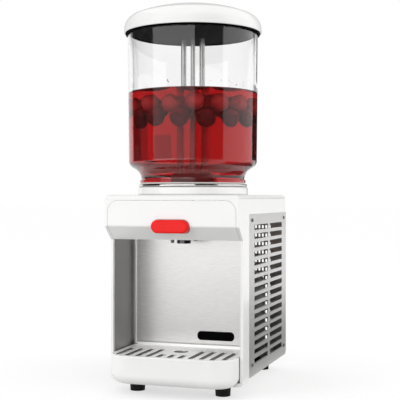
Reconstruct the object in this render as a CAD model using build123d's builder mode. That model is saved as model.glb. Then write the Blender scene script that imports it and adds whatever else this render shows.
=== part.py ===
"""Refrigerated juice dispenser with one clear bowl, a push-button tap and a drip tray.

Millimetres. +Z is up, the front faces -Y and +X is the right-hand side. The origin is on the floor,
under the middle of the whole machine. Distances called "back" are measured from the pillars' front.
"""

import os
from math import cos, pi, sin, sqrt

from build123d import *

os.makedirs("parts", exist_ok=True)

# Cabinet
body_width = 246.0  # across the side panels
body_depth = 318.0  # pillar front to rear panel
base_height = 20.0  # floor to the underside of the sill and base pan
seam_height = 316.0  # floor to the seam under the top cover
cover_rise = 34.0  # seam to the deck of the top cover
cover_wall = 4.0
cover_edge_radius = 8.0
pillar_wall = 5.0
pillar_depth = 38.0
sill_thickness = 7.0
sill_corner_radius = 10.0
sheet = 1.0  # gauge of the steel panels
panel_clearance = 0.4  # gap round inset panels

# Hood
hood_reach = 27.0  # hood front ahead of the pillars
crease_drop = 21.0  # seam to where the hood front bends back
hood_drop = 45.0  # seam to the hood's lower edge
hood_rise = 24.0  # seam to the hood's upper edge
ceiling_gap = 0.5  # niche ceiling above the hood's lower edge
hood_thickness = 3.0
hood_corner_radius = 20.0
hood_crease_radius = 4.0

# Button and valve
button_width = 68.0
button_height = 23.0
button_proud = 7.0
button_depth = 25.0
button_edge_radius = 3.0
button_clearance = 0.7
button_travel = 7.0
valve_back = 45.0  # valve passage behind the pillar front
valve_width = 34.0
valve_front_length = 29.0  # valve body ahead of the passage
valve_rear_length = 25.0  # valve body behind the passage
valve_top_rise = 18.0  # top of the valve body above its bore
valve_flange_width = 60.0
valve_flange_thickness = 6.0
valve_screw_spacing = 44.0
thumb_screw_length = 8.0
passage_radius = 3.0
spool_radius = 8.0
spool_clearance = 0.05
spool_waist_radius = 4.0
seal_wire_radius = 0.75
seal_land = 2.5  # from a spool seal to the nearest end or waist
rod_radius = 6.0
lip_length = 3.0  # front lip of the valve bore, which stops the spool
plug_length = 4.0
spring_wire_radius = 0.45
spring_radius = 5.2
spring_turn_count = 4
spring_end_gap = 0.3
spigot_radius = 6.5
spigot_length = 12.0
spigot_wall = 2.0
tube_wall = 2.4
tube_clearance = 0.1
spout_radius = 12.5
spout_mouth_radius = 11.5
spout_length = 8.5  # below the niche ceiling
spout_lip = 1.0

# Niche
niche_depth = 92.0
niche_corner_radius = 8.0
ceiling_gauge = 1.5
plate_width = 70.0
plate_height = 16.5
plate_thickness = 1.2
plate_corner_radius = 7.0
plate_inset = 73.0  # pillar to the plate's centre
plate_edge_radius = 0.4
plate_up = 92.0

# Drip tray and grid
tray_reach = 45.0
tray_corner_radius = 40.0
tray_rear_radius = 10.0
tray_bottom = 20.0  # underside of the skirt in front of the sill
tray_top = 71.0
tray_edge_radius = 18.0
tray_rim_radius = 1.5
tray_wall = 3.0
tray_side_gap = 0.8
tray_rear_gap = 2.0
grid_gauge = 1.5
grid_clearance = 0.5
grid_side_slot_count = 4
grid_short_slot_count = 3
grid_side_margin = 15.3  # grid edge to the outermost slots
grid_slot_width = 9.0
grid_slot_front = 8.0  # tray front to the slots
grid_corner_setback = 7.0  # outermost slots behind the others
grid_slot_length = 82.0
grid_short_length = 34.0
grid_drain_radius = 13.0
grid_drain_ahead = 15.0  # drain hole in front of the spout
grid_lip_height = 5.0

# Bowl and lid
bowl_back = 94.5  # bowl axis behind the pillar front
bowl_rim_radius = 120.0
bowl_foot_radius = 117.5  # of the wall, just over the shoulder
bowl_wall = 5.0
bowl_height = 276.0
shoulder_rise = 14.5
neck_radius = 94.5
neck_length = 18.0
shoulder_radius = 14.0
neck_fillet = 22.0
flange_radius = 97.0
flange_thickness = 5.0
gasket_thickness = 2.0
lid_overhang = 6.4  # shell past the bowl's rim
lid_lap = 2.5  # shell edge below the bowl's rim
lid_rise = 52.5
lid_crown = 26.0
lid_edge_radius = 28.0
lid_wall = 3.0
lid_ledge = 11.0  # width of the ring inside the shell
liner_drop = 3.0  # liner skirt below the white shell
liner_plate = 4.0
liner_plug_drop = 4.0
liner_skirt = 2.4
plug_clearance = 2.0

# Deck, pump and cooling plate
collar_height = 14.0
collar_radius = 101.0
collar_wall = 10.0
collar_edge_radius = 2.5
deck_radius = 99.5
deck_rim_height = 6.0
deck_rim_width = 6.0
deck_gauge = 1.5
deck_rim_round = 2.4
insulation_depth = 28.0
insulation_clearance = 1.0
coil_radius = 3.0
coil_first_turn = 63.0
coil_pitch = 9.0
coil_half_turn_count = 4
coil_clearance = 0.3
pump_radius = 30.0
pump_height = 26.0
pump_wall = 5.0
pump_roof = 10.0
pump_intake_count = 6
pump_intake_height = 5.0
manifold_length = 54.0
manifold_width = 18.0
manifold_height = 8.0
riser_spacing = 18.0
riser_radius = 5.0
riser_middle_radius = 4.25
riser_wall = 1.0
riser_gap = 8.0  # riser ends below the lid
riser_clearance = 0.05
spindle_radius = 2.5
running_clearance = 0.05
impeller_radius = 20.0
impeller_disc = 2.0
impeller_vane_height = 7.0
impeller_vane_count = 6
impeller_floor_gap = 3.0
impeller_vane_gap = 1.0  # vane tips inside the disc
magnet_radius = 22.0
magnet_height = 13.0
magnet_gap = 2.0
shaft_radius = 3.0
motor_radius = 23.0
motor_height = 42.0
motor_drop = 30.5  # deck underside to the motor's top
motor_bore_depth = 16.0
bracket_gauge = 3.0
bracket_width = 28.0
bracket_half_length = 56.0

# Side and rear panels
panel_bottom = 29.0
panel_corner_radius = 10.0
panel_flange = 12.0
louvre_row_count = 16
louvre_pitch = 15.9
louvre_height = 9.5
louvre_length = 97.0
louvre_gap = 15.0  # between the two columns of louvres
louvre_corner = 2.0
louvre_lip = 3.0
screw_head_radius = 3.2
screw_head_height = 1.8
screw_radius = 1.6
screw_length = 4.5
screw_clearance = 0.2
side_screw_inset = 20.0
side_screw_top_drop = 11.0
rear_screw_inset = 8.0
grille_inset = 33.4  # side of the body to the last grille slot
grille_column_count = 14
grille_pitch = 7.2
grille_width = 3.8
grille_length = 7.0
grille_row_count = 14
grille_row_pitch = 17.3
grille_middle = 173.0

# Base, feet and compressor
pan_side_gap = 13.0
pan_gauge = 1.5
pan_flange = 12.0
foot_radius = 14.3
foot_taper = 1.3
foot_inset = 43.0
foot_front_back = 22.0
foot_rear_back = 292.0
foot_screw_radius = 2.2
foot_screw_head_radius = 4.2
foot_screw_head_height = 3.0
foot_recess_depth = 9.0
foot_recess_clearance = 1.0
compressor_inset = 76.0
compressor_back = 235.0
compressor_radius = 52.0
compressor_bottom = 42.0
compressor_top = 200.0
compressor_round = 24.0
compressor_plate_length = 116.0
compressor_plate_width = 96.0
compressor_plate_gauge = 3.0
mount_inset = 9.0
grommet_radius = 8.0
stub_radius = 6.0
stub_height = 8.0
stub_spacing = 34.0
relay_width = 40.0
relay_depth = 22.0
relay_height = 50.0
relay_up = 90.0
skin_gap = 0.3  # between a curved face and what sits against it

# Condenser and fan
condenser_inset = 31.0
condenser_front = 122.0
condenser_length = 145.0
condenser_thickness = 32.0
condenser_bottom = 50.0
fin_count = 20
fin_gauge = 0.8
fin_margin = 15.0
tube_radius = 4.0
tube_pass_count = 6
tube_pitch = 25.0
tube_end = 10.0  # straight tube past the fins
fin_clearance = 0.06
shroud_gauge = 1.5
fan_back = 195.0
fan_up = 127.0
fan_radius = 58.0
fan_tip_gap = 4.0
fan_hub_radius = 13.0
fan_hub_length = 16.0
fan_blade_count = 5
fan_blade_width = 24.0
fan_blade_gauge = 1.6
fan_blade_pitch = 32.0
fan_hub_gap = 5.0
fan_motor_radius = 18.0
fan_motor_end_gap = 12.5  # fan motor to the compressor
fan_motor_gap = 4.0
fan_post_width = 20.0

# Pipes
pipe_radius = 4.0
pipe_bend = 10.0
pipe_rear_gap = 16.0  # pipe axis to the rear panel's back
discharge_up = 236.0
suction_up = 250.0
suction_back = 130.0
drier_radius = 9.0
drier_length = 80.0
drier_start = 26.0  # from the condenser tube to the drier, across
capillary_radius = 1.5
capillary_up = 300.0
capillary_back = 150.0
capillary_run = 12.0

# Controls on the rear panel
control_up = 275.0
knob_inset = 83.0
knob_radius = 14.0
knob_length = 12.5
knob_gap = 1.5
knob_pointer_width = 3.0
thermostat_width = 32.0
thermostat_depth = 24.0
thermostat_bush_radius = 6.0
thermostat_bush_length = 5.0
switch_inset = 25.0
switch_pitch = 26.0
switch_width = 13.0
switch_height = 20.0
switch_bezel = 2.0
switch_bezel_height = 2.0
switch_depth = 20.0
rocker_clearance = 0.5
rocker_proud = 3.0
rocker_axle_radius = 1.5
gland_inset = 43.0
gland_up = 42.0
gland_radius = 9.0
gland_bore_radius = 4.0
gland_length = 10.0
gland_inside = 6.0

# Places worked out from the sizes above
half_width = body_width / 2
knob_reach = knob_gap + knob_length
front_y = -(tray_reach + body_depth + knob_reach) / 2
pillar_y = front_y + tray_reach
rear_y = pillar_y + body_depth
bowl_y = pillar_y + bowl_back
valve_y = pillar_y + valve_back
hood_y = pillar_y - hood_reach
deck_seat = seam_height + cover_rise + collar_height
deck_top = deck_seat + deck_rim_height
deck_under = deck_top - deck_gauge
bowl_bottom = deck_top + gasket_thickness
bowl_rim_height = bowl_bottom + bowl_height
neck_height = bowl_bottom + neck_length
shoulder_height = neck_height + shoulder_rise
lid_radius = bowl_rim_radius + lid_overhang
lid_rim_height = bowl_rim_height - lid_lap
lid_top = lid_rim_height + lid_rise
riser_top = bowl_rim_height - liner_plug_drop - riser_gap
pillar_inside = half_width - pillar_wall
niche_half = pillar_inside - panel_clearance
pan_width = body_width - 2 * pan_side_gap
foot_across = half_width - foot_inset
compressor_across = half_width - compressor_inset
condenser_across = condenser_inset - half_width
knob_across = knob_inset - half_width
switch_across = (switch_inset - half_width, switch_inset + switch_pitch - half_width)
gland_across = gland_inset - half_width
sill_top = base_height + sill_thickness
crease_height = seam_height - crease_drop
hood_bottom = seam_height - hood_drop
hood_top = seam_height + hood_rise
ceiling_bottom = hood_bottom + ceiling_gap
ceiling_top = ceiling_bottom + ceiling_gauge
pan_top = base_height + pan_gauge
bowl_axis = Axis((0, bowl_y, 0), (0, 0, 1))
bowl_section = Plane.XZ.offset(-bowl_y)
rear_inside = rear_y - sheet
niche_back = pillar_y + niche_depth
machine_front = niche_back + 2 * sheet  # front of the space behind the niche


def keep(piece, label):
    """Labels a finished piece and writes its STEP file."""
    piece.part.label = label
    export_step(piece.part, f"parts/{label}.step")


# Base pan: folded steel floor of the machine space
pan_front = pillar_y + pillar_depth + panel_clearance
pan_rear = rear_inside - panel_clearance
pan_length = pan_rear - pan_front
rear_foot_places = [(side * foot_across, pillar_y + foot_rear_back) for side in (-1, 1)]
front_foot_places = [(side * foot_across, pillar_y + foot_front_back) for side in (-1, 1)]
foot_places = front_foot_places + rear_foot_places
compressor_y = pillar_y + compressor_back
mount_places = [
    (
        compressor_across + x * (compressor_plate_length / 2 - mount_inset),
        compressor_y + y * (compressor_plate_width / 2 - mount_inset),
    )
    for x in (-1, 1)
    for y in (-1, 1)
]
with BuildPart() as base_pan:
    with BuildSketch(Plane.XY.offset(base_height)):
        with Locations((0, pan_front)):
            Rectangle(pan_width, pan_length, align=(Align.CENTER, Align.MIN))
    extrude(amount=pan_gauge)
    with BuildSketch(Plane.XY.offset(base_height)):
        with Locations((0, machine_front)):
            Rectangle(pan_width, pan_rear - machine_front, align=(Align.CENTER, Align.MIN))
            Rectangle(
                pan_width - 2 * pan_gauge,
                pan_rear - machine_front - pan_gauge,
                align=(Align.CENTER, Align.MIN),
                mode=Mode.SUBTRACT,
            )
    extrude(amount=pan_flange)
    with BuildSketch(Plane.XY.offset(base_height)):
        with Locations(*rear_foot_places):
            Circle(foot_screw_radius + screw_clearance)
    extrude(amount=pan_gauge, mode=Mode.SUBTRACT)
keep(base_pan, "base_pan")

# Rubber feet and the screws that hold them
with BuildPart() as rubber_feet:
    with Locations(*[(x, y, 0) for x, y in foot_places]):
        Cone(
            foot_radius - foot_taper,
            foot_radius,
            base_height,
            align=(Align.CENTER, Align.CENTER, Align.MIN),
        )
    with BuildSketch():
        with Locations(*foot_places):
            Circle(foot_screw_head_radius + foot_recess_clearance)
    extrude(amount=foot_recess_depth + foot_screw_head_height, mode=Mode.SUBTRACT)
    with BuildSketch():
        with Locations(*foot_places):
            Circle(foot_screw_radius + screw_clearance)
    extrude(amount=base_height, mode=Mode.SUBTRACT)
keep(rubber_feet, "rubber_feet")

with BuildPart() as foot_screws:
    with BuildSketch(Plane.XY.offset(foot_recess_depth)):
        with Locations(*foot_places):
            Circle(foot_screw_head_radius)
    extrude(amount=foot_screw_head_height)
    with BuildSketch(Plane.XY.offset(foot_recess_depth)):
        with Locations(*foot_places):
            Circle(foot_screw_radius)
    extrude(amount=sill_top - foot_recess_depth)
keep(foot_screws, "foot_screws")

# Front frame: two pillars, the sill under the tray and the hood's cheeks
with BuildPart() as front_frame:
    with BuildSketch(Plane.XZ.offset(-pillar_y)):
        with Locations((0, (base_height + seam_height) / 2)):
            frame_outline = Rectangle(body_width, seam_height - base_height)
        fillet(frame_outline.vertices().group_by(Axis.Y)[0], sill_corner_radius)
        with Locations((0, sill_top)):
            Rectangle(2 * pillar_inside, seam_height, align=(Align.CENTER, Align.MIN), mode=Mode.SUBTRACT)
    extrude(amount=-pillar_depth)
    for cheek_x in (-half_width, pillar_inside):
        with BuildSketch(Plane.YZ.offset(cheek_x)):
            with BuildLine():
                Polyline(
                    (pillar_y, hood_bottom),
                    (hood_y, crease_height),
                    (hood_y, seam_height),
                    (pillar_y + pillar_depth, seam_height),
                    (pillar_y + pillar_depth, hood_bottom),
                    close=True,
                )
            make_face()
        extrude(amount=pillar_wall)
    with BuildSketch(Plane.XY.offset(base_height)):
        with Locations(*front_foot_places):
            Circle(foot_screw_radius + screw_clearance)
    extrude(amount=sill_thickness, mode=Mode.SUBTRACT)
keep(front_frame, "front_frame")

# Hood panel: bent front with the button's slot through the crease
button_z = crease_height
with BuildPart() as hood_panel:
    with BuildSketch(Plane.YZ):
        with BuildLine() as hood_bend:
            FilletPolyline(
                (hood_y, hood_top),
                (hood_y, crease_height),
                (pillar_y, hood_bottom),
                radius=hood_crease_radius,
            )
            offset(amount=hood_thickness, side=Side.LEFT)
        make_face()
    extrude(amount=niche_half, both=True)
    top_corners = hood_panel.edges().filter_by(Axis.Y).group_by(Axis.Z)[-1]
    fillet(top_corners, hood_corner_radius)
    with BuildSketch(Plane.XZ.offset(-hood_y)):
        with Locations((0, button_z)):
            SlotOverall(button_width + 2 * button_clearance, button_height + 2 * button_clearance)
    extrude(amount=-hood_reach, both=True, mode=Mode.SUBTRACT)
keep(hood_panel, "hood_panel")

# Top cover: white lid of the cabinet, with the collar that carries the deck
cover_top = seam_height + cover_rise
cover_length = rear_y - hood_y
with BuildPart() as top_cover:
    with BuildSketch(Plane.XY.offset(seam_height)):
        with Locations((0, hood_y)):
            Rectangle(body_width, cover_length, align=(Align.CENTER, Align.MIN))
    extrude(amount=cover_rise)
    fillet(top_cover.edges().filter_by(Axis.Z).group_by(Axis.Y)[-1], cover_edge_radius)
    fillet(top_cover.faces().sort_by(Axis.Z)[-1].edges(), cover_edge_radius)
    with BuildSketch(Plane.XY.offset(seam_height)):
        with Locations((0, hood_y + cover_wall)):
            Rectangle(
                2 * pillar_inside,
                cover_length - 2 * cover_wall,
                align=(Align.CENTER, Align.MIN),
            )
    extrude(amount=cover_rise - cover_wall, mode=Mode.SUBTRACT)
    with BuildSketch(Plane.XY.offset(cover_top - cover_wall)):
        with Locations((0, bowl_y)):
            Circle(collar_radius)
    extrude(amount=cover_wall + collar_height)
    fillet(top_cover.faces().sort_by(Axis.Z)[-1].edges(), collar_edge_radius)
    with BuildSketch(Plane.XY.offset(seam_height)):
        with Locations((0, bowl_y)):
            Circle(collar_radius - collar_wall)
    extrude(amount=cover_rise + collar_height, mode=Mode.SUBTRACT)
    with BuildSketch(Plane.XZ.offset(-hood_y)):
        with Locations((0, seam_height)):
            hood_window = Rectangle(
                2 * pillar_inside,
                hood_top + panel_clearance - seam_height,
                align=(Align.CENTER, Align.MIN),
            )
        fillet(hood_window.vertices().group_by(Axis.Y)[-1], hood_corner_radius + panel_clearance)
    extrude(amount=-cover_wall, mode=Mode.SUBTRACT)
keep(top_cover, "top_cover")

# Splash panel: steel lining round the niche
splash_front = pillar_y + sheet
with BuildPart() as splash_panel:
    with BuildSketch(Plane.XY.offset(sill_top + panel_clearance)):
        with BuildLine():
            FilletPolyline(
                (-niche_half, splash_front),
                (-niche_half, niche_back + sheet),
                (niche_half, niche_back + sheet),
                (niche_half, splash_front),
                radius=niche_corner_radius,
            )
            offset(amount=sheet, side=Side.RIGHT)
        make_face()
    extrude(amount=hood_bottom - sill_top - panel_clearance)
keep(splash_panel, "splash_panel")

with BuildPart() as name_plate:
    with BuildSketch(Plane.XZ.offset(-niche_back)):
        with Locations((pillar_inside - plate_inset, plate_up)):
            RectangleRounded(plate_width, plate_height, plate_corner_radius)
    extrude(amount=plate_thickness)
    fillet(name_plate.faces().sort_by(Axis.Y)[0].edges(), plate_edge_radius)
keep(name_plate, "name_plate")

# Niche ceiling: shelf behind the hood that carries the valve
ceiling_front = pillar_y + hood_thickness
with BuildPart() as niche_ceiling:
    with BuildSketch(Plane.XY.offset(ceiling_bottom)):
        with Locations((0, ceiling_front)):
            Rectangle(
                2 * niche_half,
                niche_back - ceiling_front,
                align=(Align.CENTER, Align.MIN),
            )
        with Locations((0, valve_y)):
            Circle(spout_radius + skin_gap, mode=Mode.SUBTRACT)
            with GridLocations(valve_screw_spacing, 1, 2, 1):
                Circle(screw_radius + screw_clearance, mode=Mode.SUBTRACT)
    extrude(amount=ceiling_gauge)
keep(niche_ceiling, "niche_ceiling")

# Valve body: block with the spool's bore across the vertical passage
valve_front = valve_y - valve_front_length
valve_rear = valve_y + valve_rear_length
valve_top = button_z + valve_top_rise
lip_back = valve_front + lip_length
with BuildPart() as valve_body:
    with BuildSketch(Plane.XY.offset(ceiling_top)):
        with Locations((0, valve_front)):
            Rectangle(
                valve_width,
                valve_rear - valve_front,
                align=(Align.CENTER, Align.MIN),
            )
    extrude(amount=valve_top - ceiling_top)
    with BuildSketch(Plane.XY.offset(ceiling_top)):
        with Locations((0, valve_y)):
            SlotOverall(valve_flange_width, valve_flange_width / 3)
    extrude(amount=valve_flange_thickness)
    with BuildSketch(Plane.XY.offset(valve_top)):
        with Locations((0, valve_y)):
            Circle(spigot_radius)
    extrude(amount=spigot_length)
    with BuildSketch(Plane.XZ.offset(-valve_front)):
        with Locations((0, button_z)):
            Circle(rod_radius)
    extrude(amount=-lip_length, mode=Mode.SUBTRACT)
    with BuildSketch(Plane.XZ.offset(-lip_back)):
        with Locations((0, button_z)):
            Circle(spool_radius)
    extrude(amount=lip_back - valve_rear, mode=Mode.SUBTRACT)
    with BuildSketch(Plane.XY.offset(ceiling_top)):
        with Locations((0, valve_y)):
            Circle(passage_radius)
            with GridLocations(valve_screw_spacing, 1, 2, 1):
                Circle(screw_radius + screw_clearance)
    extrude(amount=valve_top + spigot_length - ceiling_top, mode=Mode.SUBTRACT)
keep(valve_body, "valve_body")

with BuildPart() as valve_screws:
    with BuildSketch(Plane.XY.offset(ceiling_bottom)):
        with Locations((0, valve_y)):
            with GridLocations(valve_screw_spacing, 1, 2, 1):
                Circle(screw_head_radius)
    extrude(amount=-2 * screw_head_height)
    with BuildSketch(Plane.XY.offset(ceiling_bottom)):
        with Locations((-valve_screw_spacing / 2, valve_y)):
            Circle(screw_head_radius)
    extrude(amount=-thumb_screw_length)
    with BuildSketch(Plane.XY.offset(ceiling_bottom)):
        with Locations((0, valve_y)):
            with GridLocations(valve_screw_spacing, 1, 2, 1):
                Circle(screw_radius)
    extrude(amount=ceiling_gauge + valve_flange_thickness)
keep(valve_screws, "valve_screws")

# Spout: nozzle below the valve, through the ceiling
spout_bottom = ceiling_bottom - spout_length
with BuildPart() as spout:
    with BuildSketch(Plane.XZ.offset(-valve_y)):
        with BuildLine():
            Polyline(
                (passage_radius, ceiling_top),
                (spout_radius, ceiling_top),
                (spout_radius, spout_bottom + spout_length / 2),
                (spout_mouth_radius + spout_lip, spout_bottom),
                (spout_mouth_radius, spout_bottom),
                (passage_radius, ceiling_bottom),
                close=True,
            )
        make_face()
    revolve(axis=Axis((0, valve_y, 0), (0, 0, 1)))
keep(spout, "spout")

# Dispensing button, which slides straight in
button_front = hood_y - button_proud
button_back = button_front + button_depth
with BuildPart() as dispense_button:
    with BuildSketch(Plane.XZ.offset(-button_front)):
        with Locations((0, button_z)):
            SlotOverall(button_width, button_height)
    extrude(amount=-button_depth)
    fillet(dispense_button.faces().sort_by(Axis.Y)[0].edges(), button_edge_radius)
keep(dispense_button, "dispense_button")

# Valve spool: its waist comes under the passage when the button is pressed
waist_half = passage_radius + skin_gap
waist_y = valve_y - button_travel
front_seal_y = waist_y - waist_half - seal_land
rear_seal_y = valve_y + passage_radius + seal_land
spool_rear = rear_seal_y + seal_land
spool_fit_radius = spool_radius - spool_clearance
seal_groove_radius = spool_fit_radius - 2 * (seal_wire_radius + running_clearance)
groove_half = 1.6 * seal_wire_radius
with BuildPart() as valve_spool:
    with BuildSketch(Plane.XZ.offset(-button_back)):
        with Locations((0, button_z)):
            Circle(rod_radius - spool_clearance)
    extrude(amount=button_back - lip_back)
    with BuildSketch(Plane.XZ.offset(-lip_back)):
        with Locations((0, button_z)):
            Circle(spool_fit_radius)
    extrude(amount=lip_back - spool_rear)
    for middle, half, core in (
        (waist_y, waist_half, spool_waist_radius),
        (front_seal_y, groove_half, seal_groove_radius),
        (rear_seal_y, groove_half, seal_groove_radius),
    ):
        with BuildSketch(Plane.XZ.offset(half - middle)):
            with Locations((0, button_z)):
                Circle(spool_radius)
                Circle(core, mode=Mode.SUBTRACT)
        extrude(amount=-2 * half, mode=Mode.SUBTRACT)
keep(valve_spool, "valve_spool")

with BuildPart() as spool_seals:
    for seal_y in (front_seal_y, rear_seal_y):
        with Locations(Location((0, seal_y, button_z), (90, 0, 0))):
            Torus(spool_fit_radius - seal_wire_radius, seal_wire_radius)
keep(spool_seals, "spool_seals")

# Rear plug of the valve bore, which the return spring pushes against
plug_front = valve_rear - plug_length
with BuildPart() as valve_plug:
    with BuildSketch(Plane.XZ.offset(-plug_front)):
        with Locations((0, button_z)):
            Circle(spool_fit_radius)
    extrude(amount=-plug_length)
keep(valve_plug, "valve_plug")


def biarc(start, start_way, end, end_way):
    """Draws two arcs from start to end that keep the helix's direction at both ends."""
    chord = end - start
    ways = start_way + end_way
    spread = 2 * (1 - start_way.dot(end_way))
    reach = (-chord.dot(ways) + sqrt(chord.dot(ways) ** 2 + spread * chord.dot(chord))) / spread
    near = start + start_way * reach
    far = end - end_way * reach
    middle = (near + far) / 2
    TangentArc(start, middle, tangent=start_way)
    TangentArc(middle, end, tangent=far - near)


# Return spring, wound between the spool and the plug
spring_start = spool_rear + spring_wire_radius + spring_end_gap
spring_end = plug_front - spring_wire_radius - spring_end_gap
spring_rise = (spring_end - spring_start) / spring_turn_count


def spring_point(turn):
    """Point of the spring's centre line after a number of turns."""
    angle = 2 * pi * turn
    across = spring_radius * cos(angle)
    up = spring_radius * sin(angle)
    return Vector(across, spring_start + spring_rise * turn, button_z + up)


def spring_way(turn):
    """Direction of the spring's centre line after a number of turns."""
    angle = 2 * pi * turn
    round_turn = 2 * pi * spring_radius
    return Vector(-round_turn * sin(angle), spring_rise, round_turn * cos(angle)).normalized()


with BuildPart() as return_spring:
    with BuildLine() as spring_path:
        for quarter in range(4 * spring_turn_count):
            begin = quarter / 4
            finish = (quarter + 1) / 4
            biarc(
                spring_point(begin),
                spring_way(begin),
                spring_point(finish),
                spring_way(finish),
            )
    with BuildSketch(Plane(spring_point(0), z_dir=spring_way(0))):
        Circle(spring_wire_radius)
    sweep(path=spring_path.wires()[0])
keep(return_spring, "return_spring")
spring_samples = [spring_point(step / 48) for step in range(48 * spring_turn_count + 1)]
spring_gap = min(
    (near - far).length
    for place, near in enumerate(spring_samples)
    for far in spring_samples[place + 24 :]
)
print("least gap of the spring to itself", round(spring_gap - 2 * spring_wire_radius, 3))

# Deck plate: polished steel floor of the bowl, with the outlet spigot
spigot_bottom = deck_under - insulation_depth - spigot_length / 3
with BuildPart() as deck_plate:
    with BuildSketch(bowl_section):
        with BuildLine():
            Polyline(
                (0, deck_top),
                (deck_radius, deck_top),
                (deck_radius, deck_seat),
                (deck_radius - deck_rim_width, deck_seat),
                (deck_radius - deck_rim_width, deck_under),
                (0, deck_under),
                close=True,
            )
        make_face()
    revolve(axis=bowl_axis)
    outer_edges = deck_plate.faces().filter_by(GeomType.CYLINDER).sort_by(SortBy.AREA)[-1].edges()
    fillet(outer_edges.filter_by(GeomType.CIRCLE), deck_rim_round)
    with BuildSketch(Plane.XY.offset(deck_under)):
        with Locations((0, valve_y)):
            Circle(spigot_radius)
    extrude(amount=spigot_bottom - deck_under)
    with BuildSketch(Plane.XY.offset(deck_top)):
        with Locations((0, valve_y)):
            Circle(spigot_radius - spigot_wall)
    extrude(amount=spigot_bottom - deck_top, mode=Mode.SUBTRACT)
    with BuildSketch(Plane.XY.offset(deck_top)):
        with Locations((0, bowl_y)):
            Circle(spindle_radius)
    extrude(amount=impeller_floor_gap + impeller_disc + impeller_vane_height)
keep(deck_plate, "deck_plate")

# Dispensing tube: silicone, pushed over the deck's and the valve's spigots
tube_bore = spigot_radius + tube_clearance
tube_outside = tube_bore + tube_wall
tube_top = spigot_bottom + spigot_length
with BuildPart() as dispensing_tube:
    with BuildSketch(Plane.XY.offset(valve_top + skin_gap)):
        with Locations((0, valve_y)):
            Circle(tube_outside)
            Circle(tube_bore, mode=Mode.SUBTRACT)
    extrude(amount=tube_top - valve_top - skin_gap)
keep(dispensing_tube, "dispensing_tube")

# Evaporator coil: flat spiral of half turns under the deck
coil_z = deck_under - coil_clearance - coil_radius
coil_step = coil_pitch / 2
with BuildPart() as evaporator_coil:
    with BuildLine(Plane.XY.offset(coil_z)) as coil_path:
        coil_x = coil_first_turn
        coil_side = 1
        for half_turn in range(coil_half_turn_count):
            turn_radius = coil_first_turn + half_turn * coil_step
            coil_next = coil_x - 2 * turn_radius * coil_side
            coil_middle = (coil_x + coil_next) / 2
            ThreePointArc(
                (coil_x, bowl_y),
                (coil_middle, bowl_y + turn_radius * coil_side),
                (coil_next, bowl_y),
            )
            coil_x = coil_next
            coil_side = -coil_side
    with BuildSketch(Plane((coil_first_turn, bowl_y, coil_z), z_dir=(0, 1, 0))):
        Circle(coil_radius)
    sweep(path=coil_path.wires()[0])
keep(evaporator_coil, "evaporator_coil")

# Insulation block under the deck, with the coil's recess
insulation_radius = collar_radius - collar_wall - insulation_clearance
insulation_bottom = deck_under - insulation_depth
recess_inside = coil_first_turn - 2 * coil_radius - coil_step
recess_depth = 2 * (coil_radius + coil_clearance)
with BuildPart() as insulation_block:
    with BuildSketch(Plane.XY.offset(insulation_bottom)):
        with Locations((0, bowl_y)):
            Circle(insulation_radius)
            Circle(pump_radius, mode=Mode.SUBTRACT)
        with Locations((0, valve_y)):
            Circle(tube_outside + skin_gap, mode=Mode.SUBTRACT)
    extrude(amount=insulation_depth - coil_clearance)
    with BuildSketch(Plane.XY.offset(deck_under - recess_depth)):
        with Locations((0, bowl_y)):
            Circle(insulation_radius - pump_wall)
            Circle(recess_inside, mode=Mode.SUBTRACT)
    extrude(amount=recess_depth, mode=Mode.SUBTRACT)
keep(insulation_block, "insulation_block")

# Bowl: clear, with a narrower neck and a foot flange, on its gasket
with BuildPart() as bowl:
    with BuildSketch(bowl_section):
        with BuildLine():
            FilletPolyline(
                (neck_radius, bowl_bottom),
                (neck_radius, neck_height),
                (bowl_foot_radius, shoulder_height),
                (bowl_rim_radius, bowl_rim_height),
                radius=[neck_fillet, shoulder_radius],
            )
            offset(amount=bowl_wall, side=Side.LEFT)
        make_face()
        with Locations((bowl_rim_radius, bowl_rim_height)):
            Rectangle(4 * bowl_wall, bowl_wall, align=(Align.CENTER, Align.MIN), mode=Mode.SUBTRACT)
        with Locations((neck_radius - bowl_wall / 2, bowl_bottom)):
            Rectangle(
                flange_radius - neck_radius + bowl_wall / 2,
                flange_thickness,
                align=(Align.MIN, Align.MIN),
            )
    revolve(axis=bowl_axis)
keep(bowl, "bowl")

with BuildPart() as bowl_gasket:
    with BuildSketch(Plane.XY.offset(deck_top)):
        with Locations((0, bowl_y)):
            Circle(flange_radius - panel_clearance)
            Circle(neck_radius - bowl_wall + panel_clearance, mode=Mode.SUBTRACT)
    extrude(amount=gasket_thickness)
keep(bowl_gasket, "bowl_gasket")

# Lid: white domed shell over a black liner that sits on the bowl's rim
liner_top = bowl_rim_height + liner_plate


def dome_profile(radius, top):
    """Half section of a crowned dome from its axis to its rim, before its edge is rounded."""
    corner = (radius, top - lid_crown)
    crown_radius = (radius**2 + lid_crown**2) / (2 * lid_crown)
    with BuildLine() as section:
        RadiusArc((0, top), corner, crown_radius)
        Line(corner, (radius, lid_rim_height))
        Line((radius, lid_rim_height), (0, lid_rim_height))
        Line((0, lid_rim_height), (0, top))
    return section.edges()


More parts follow.
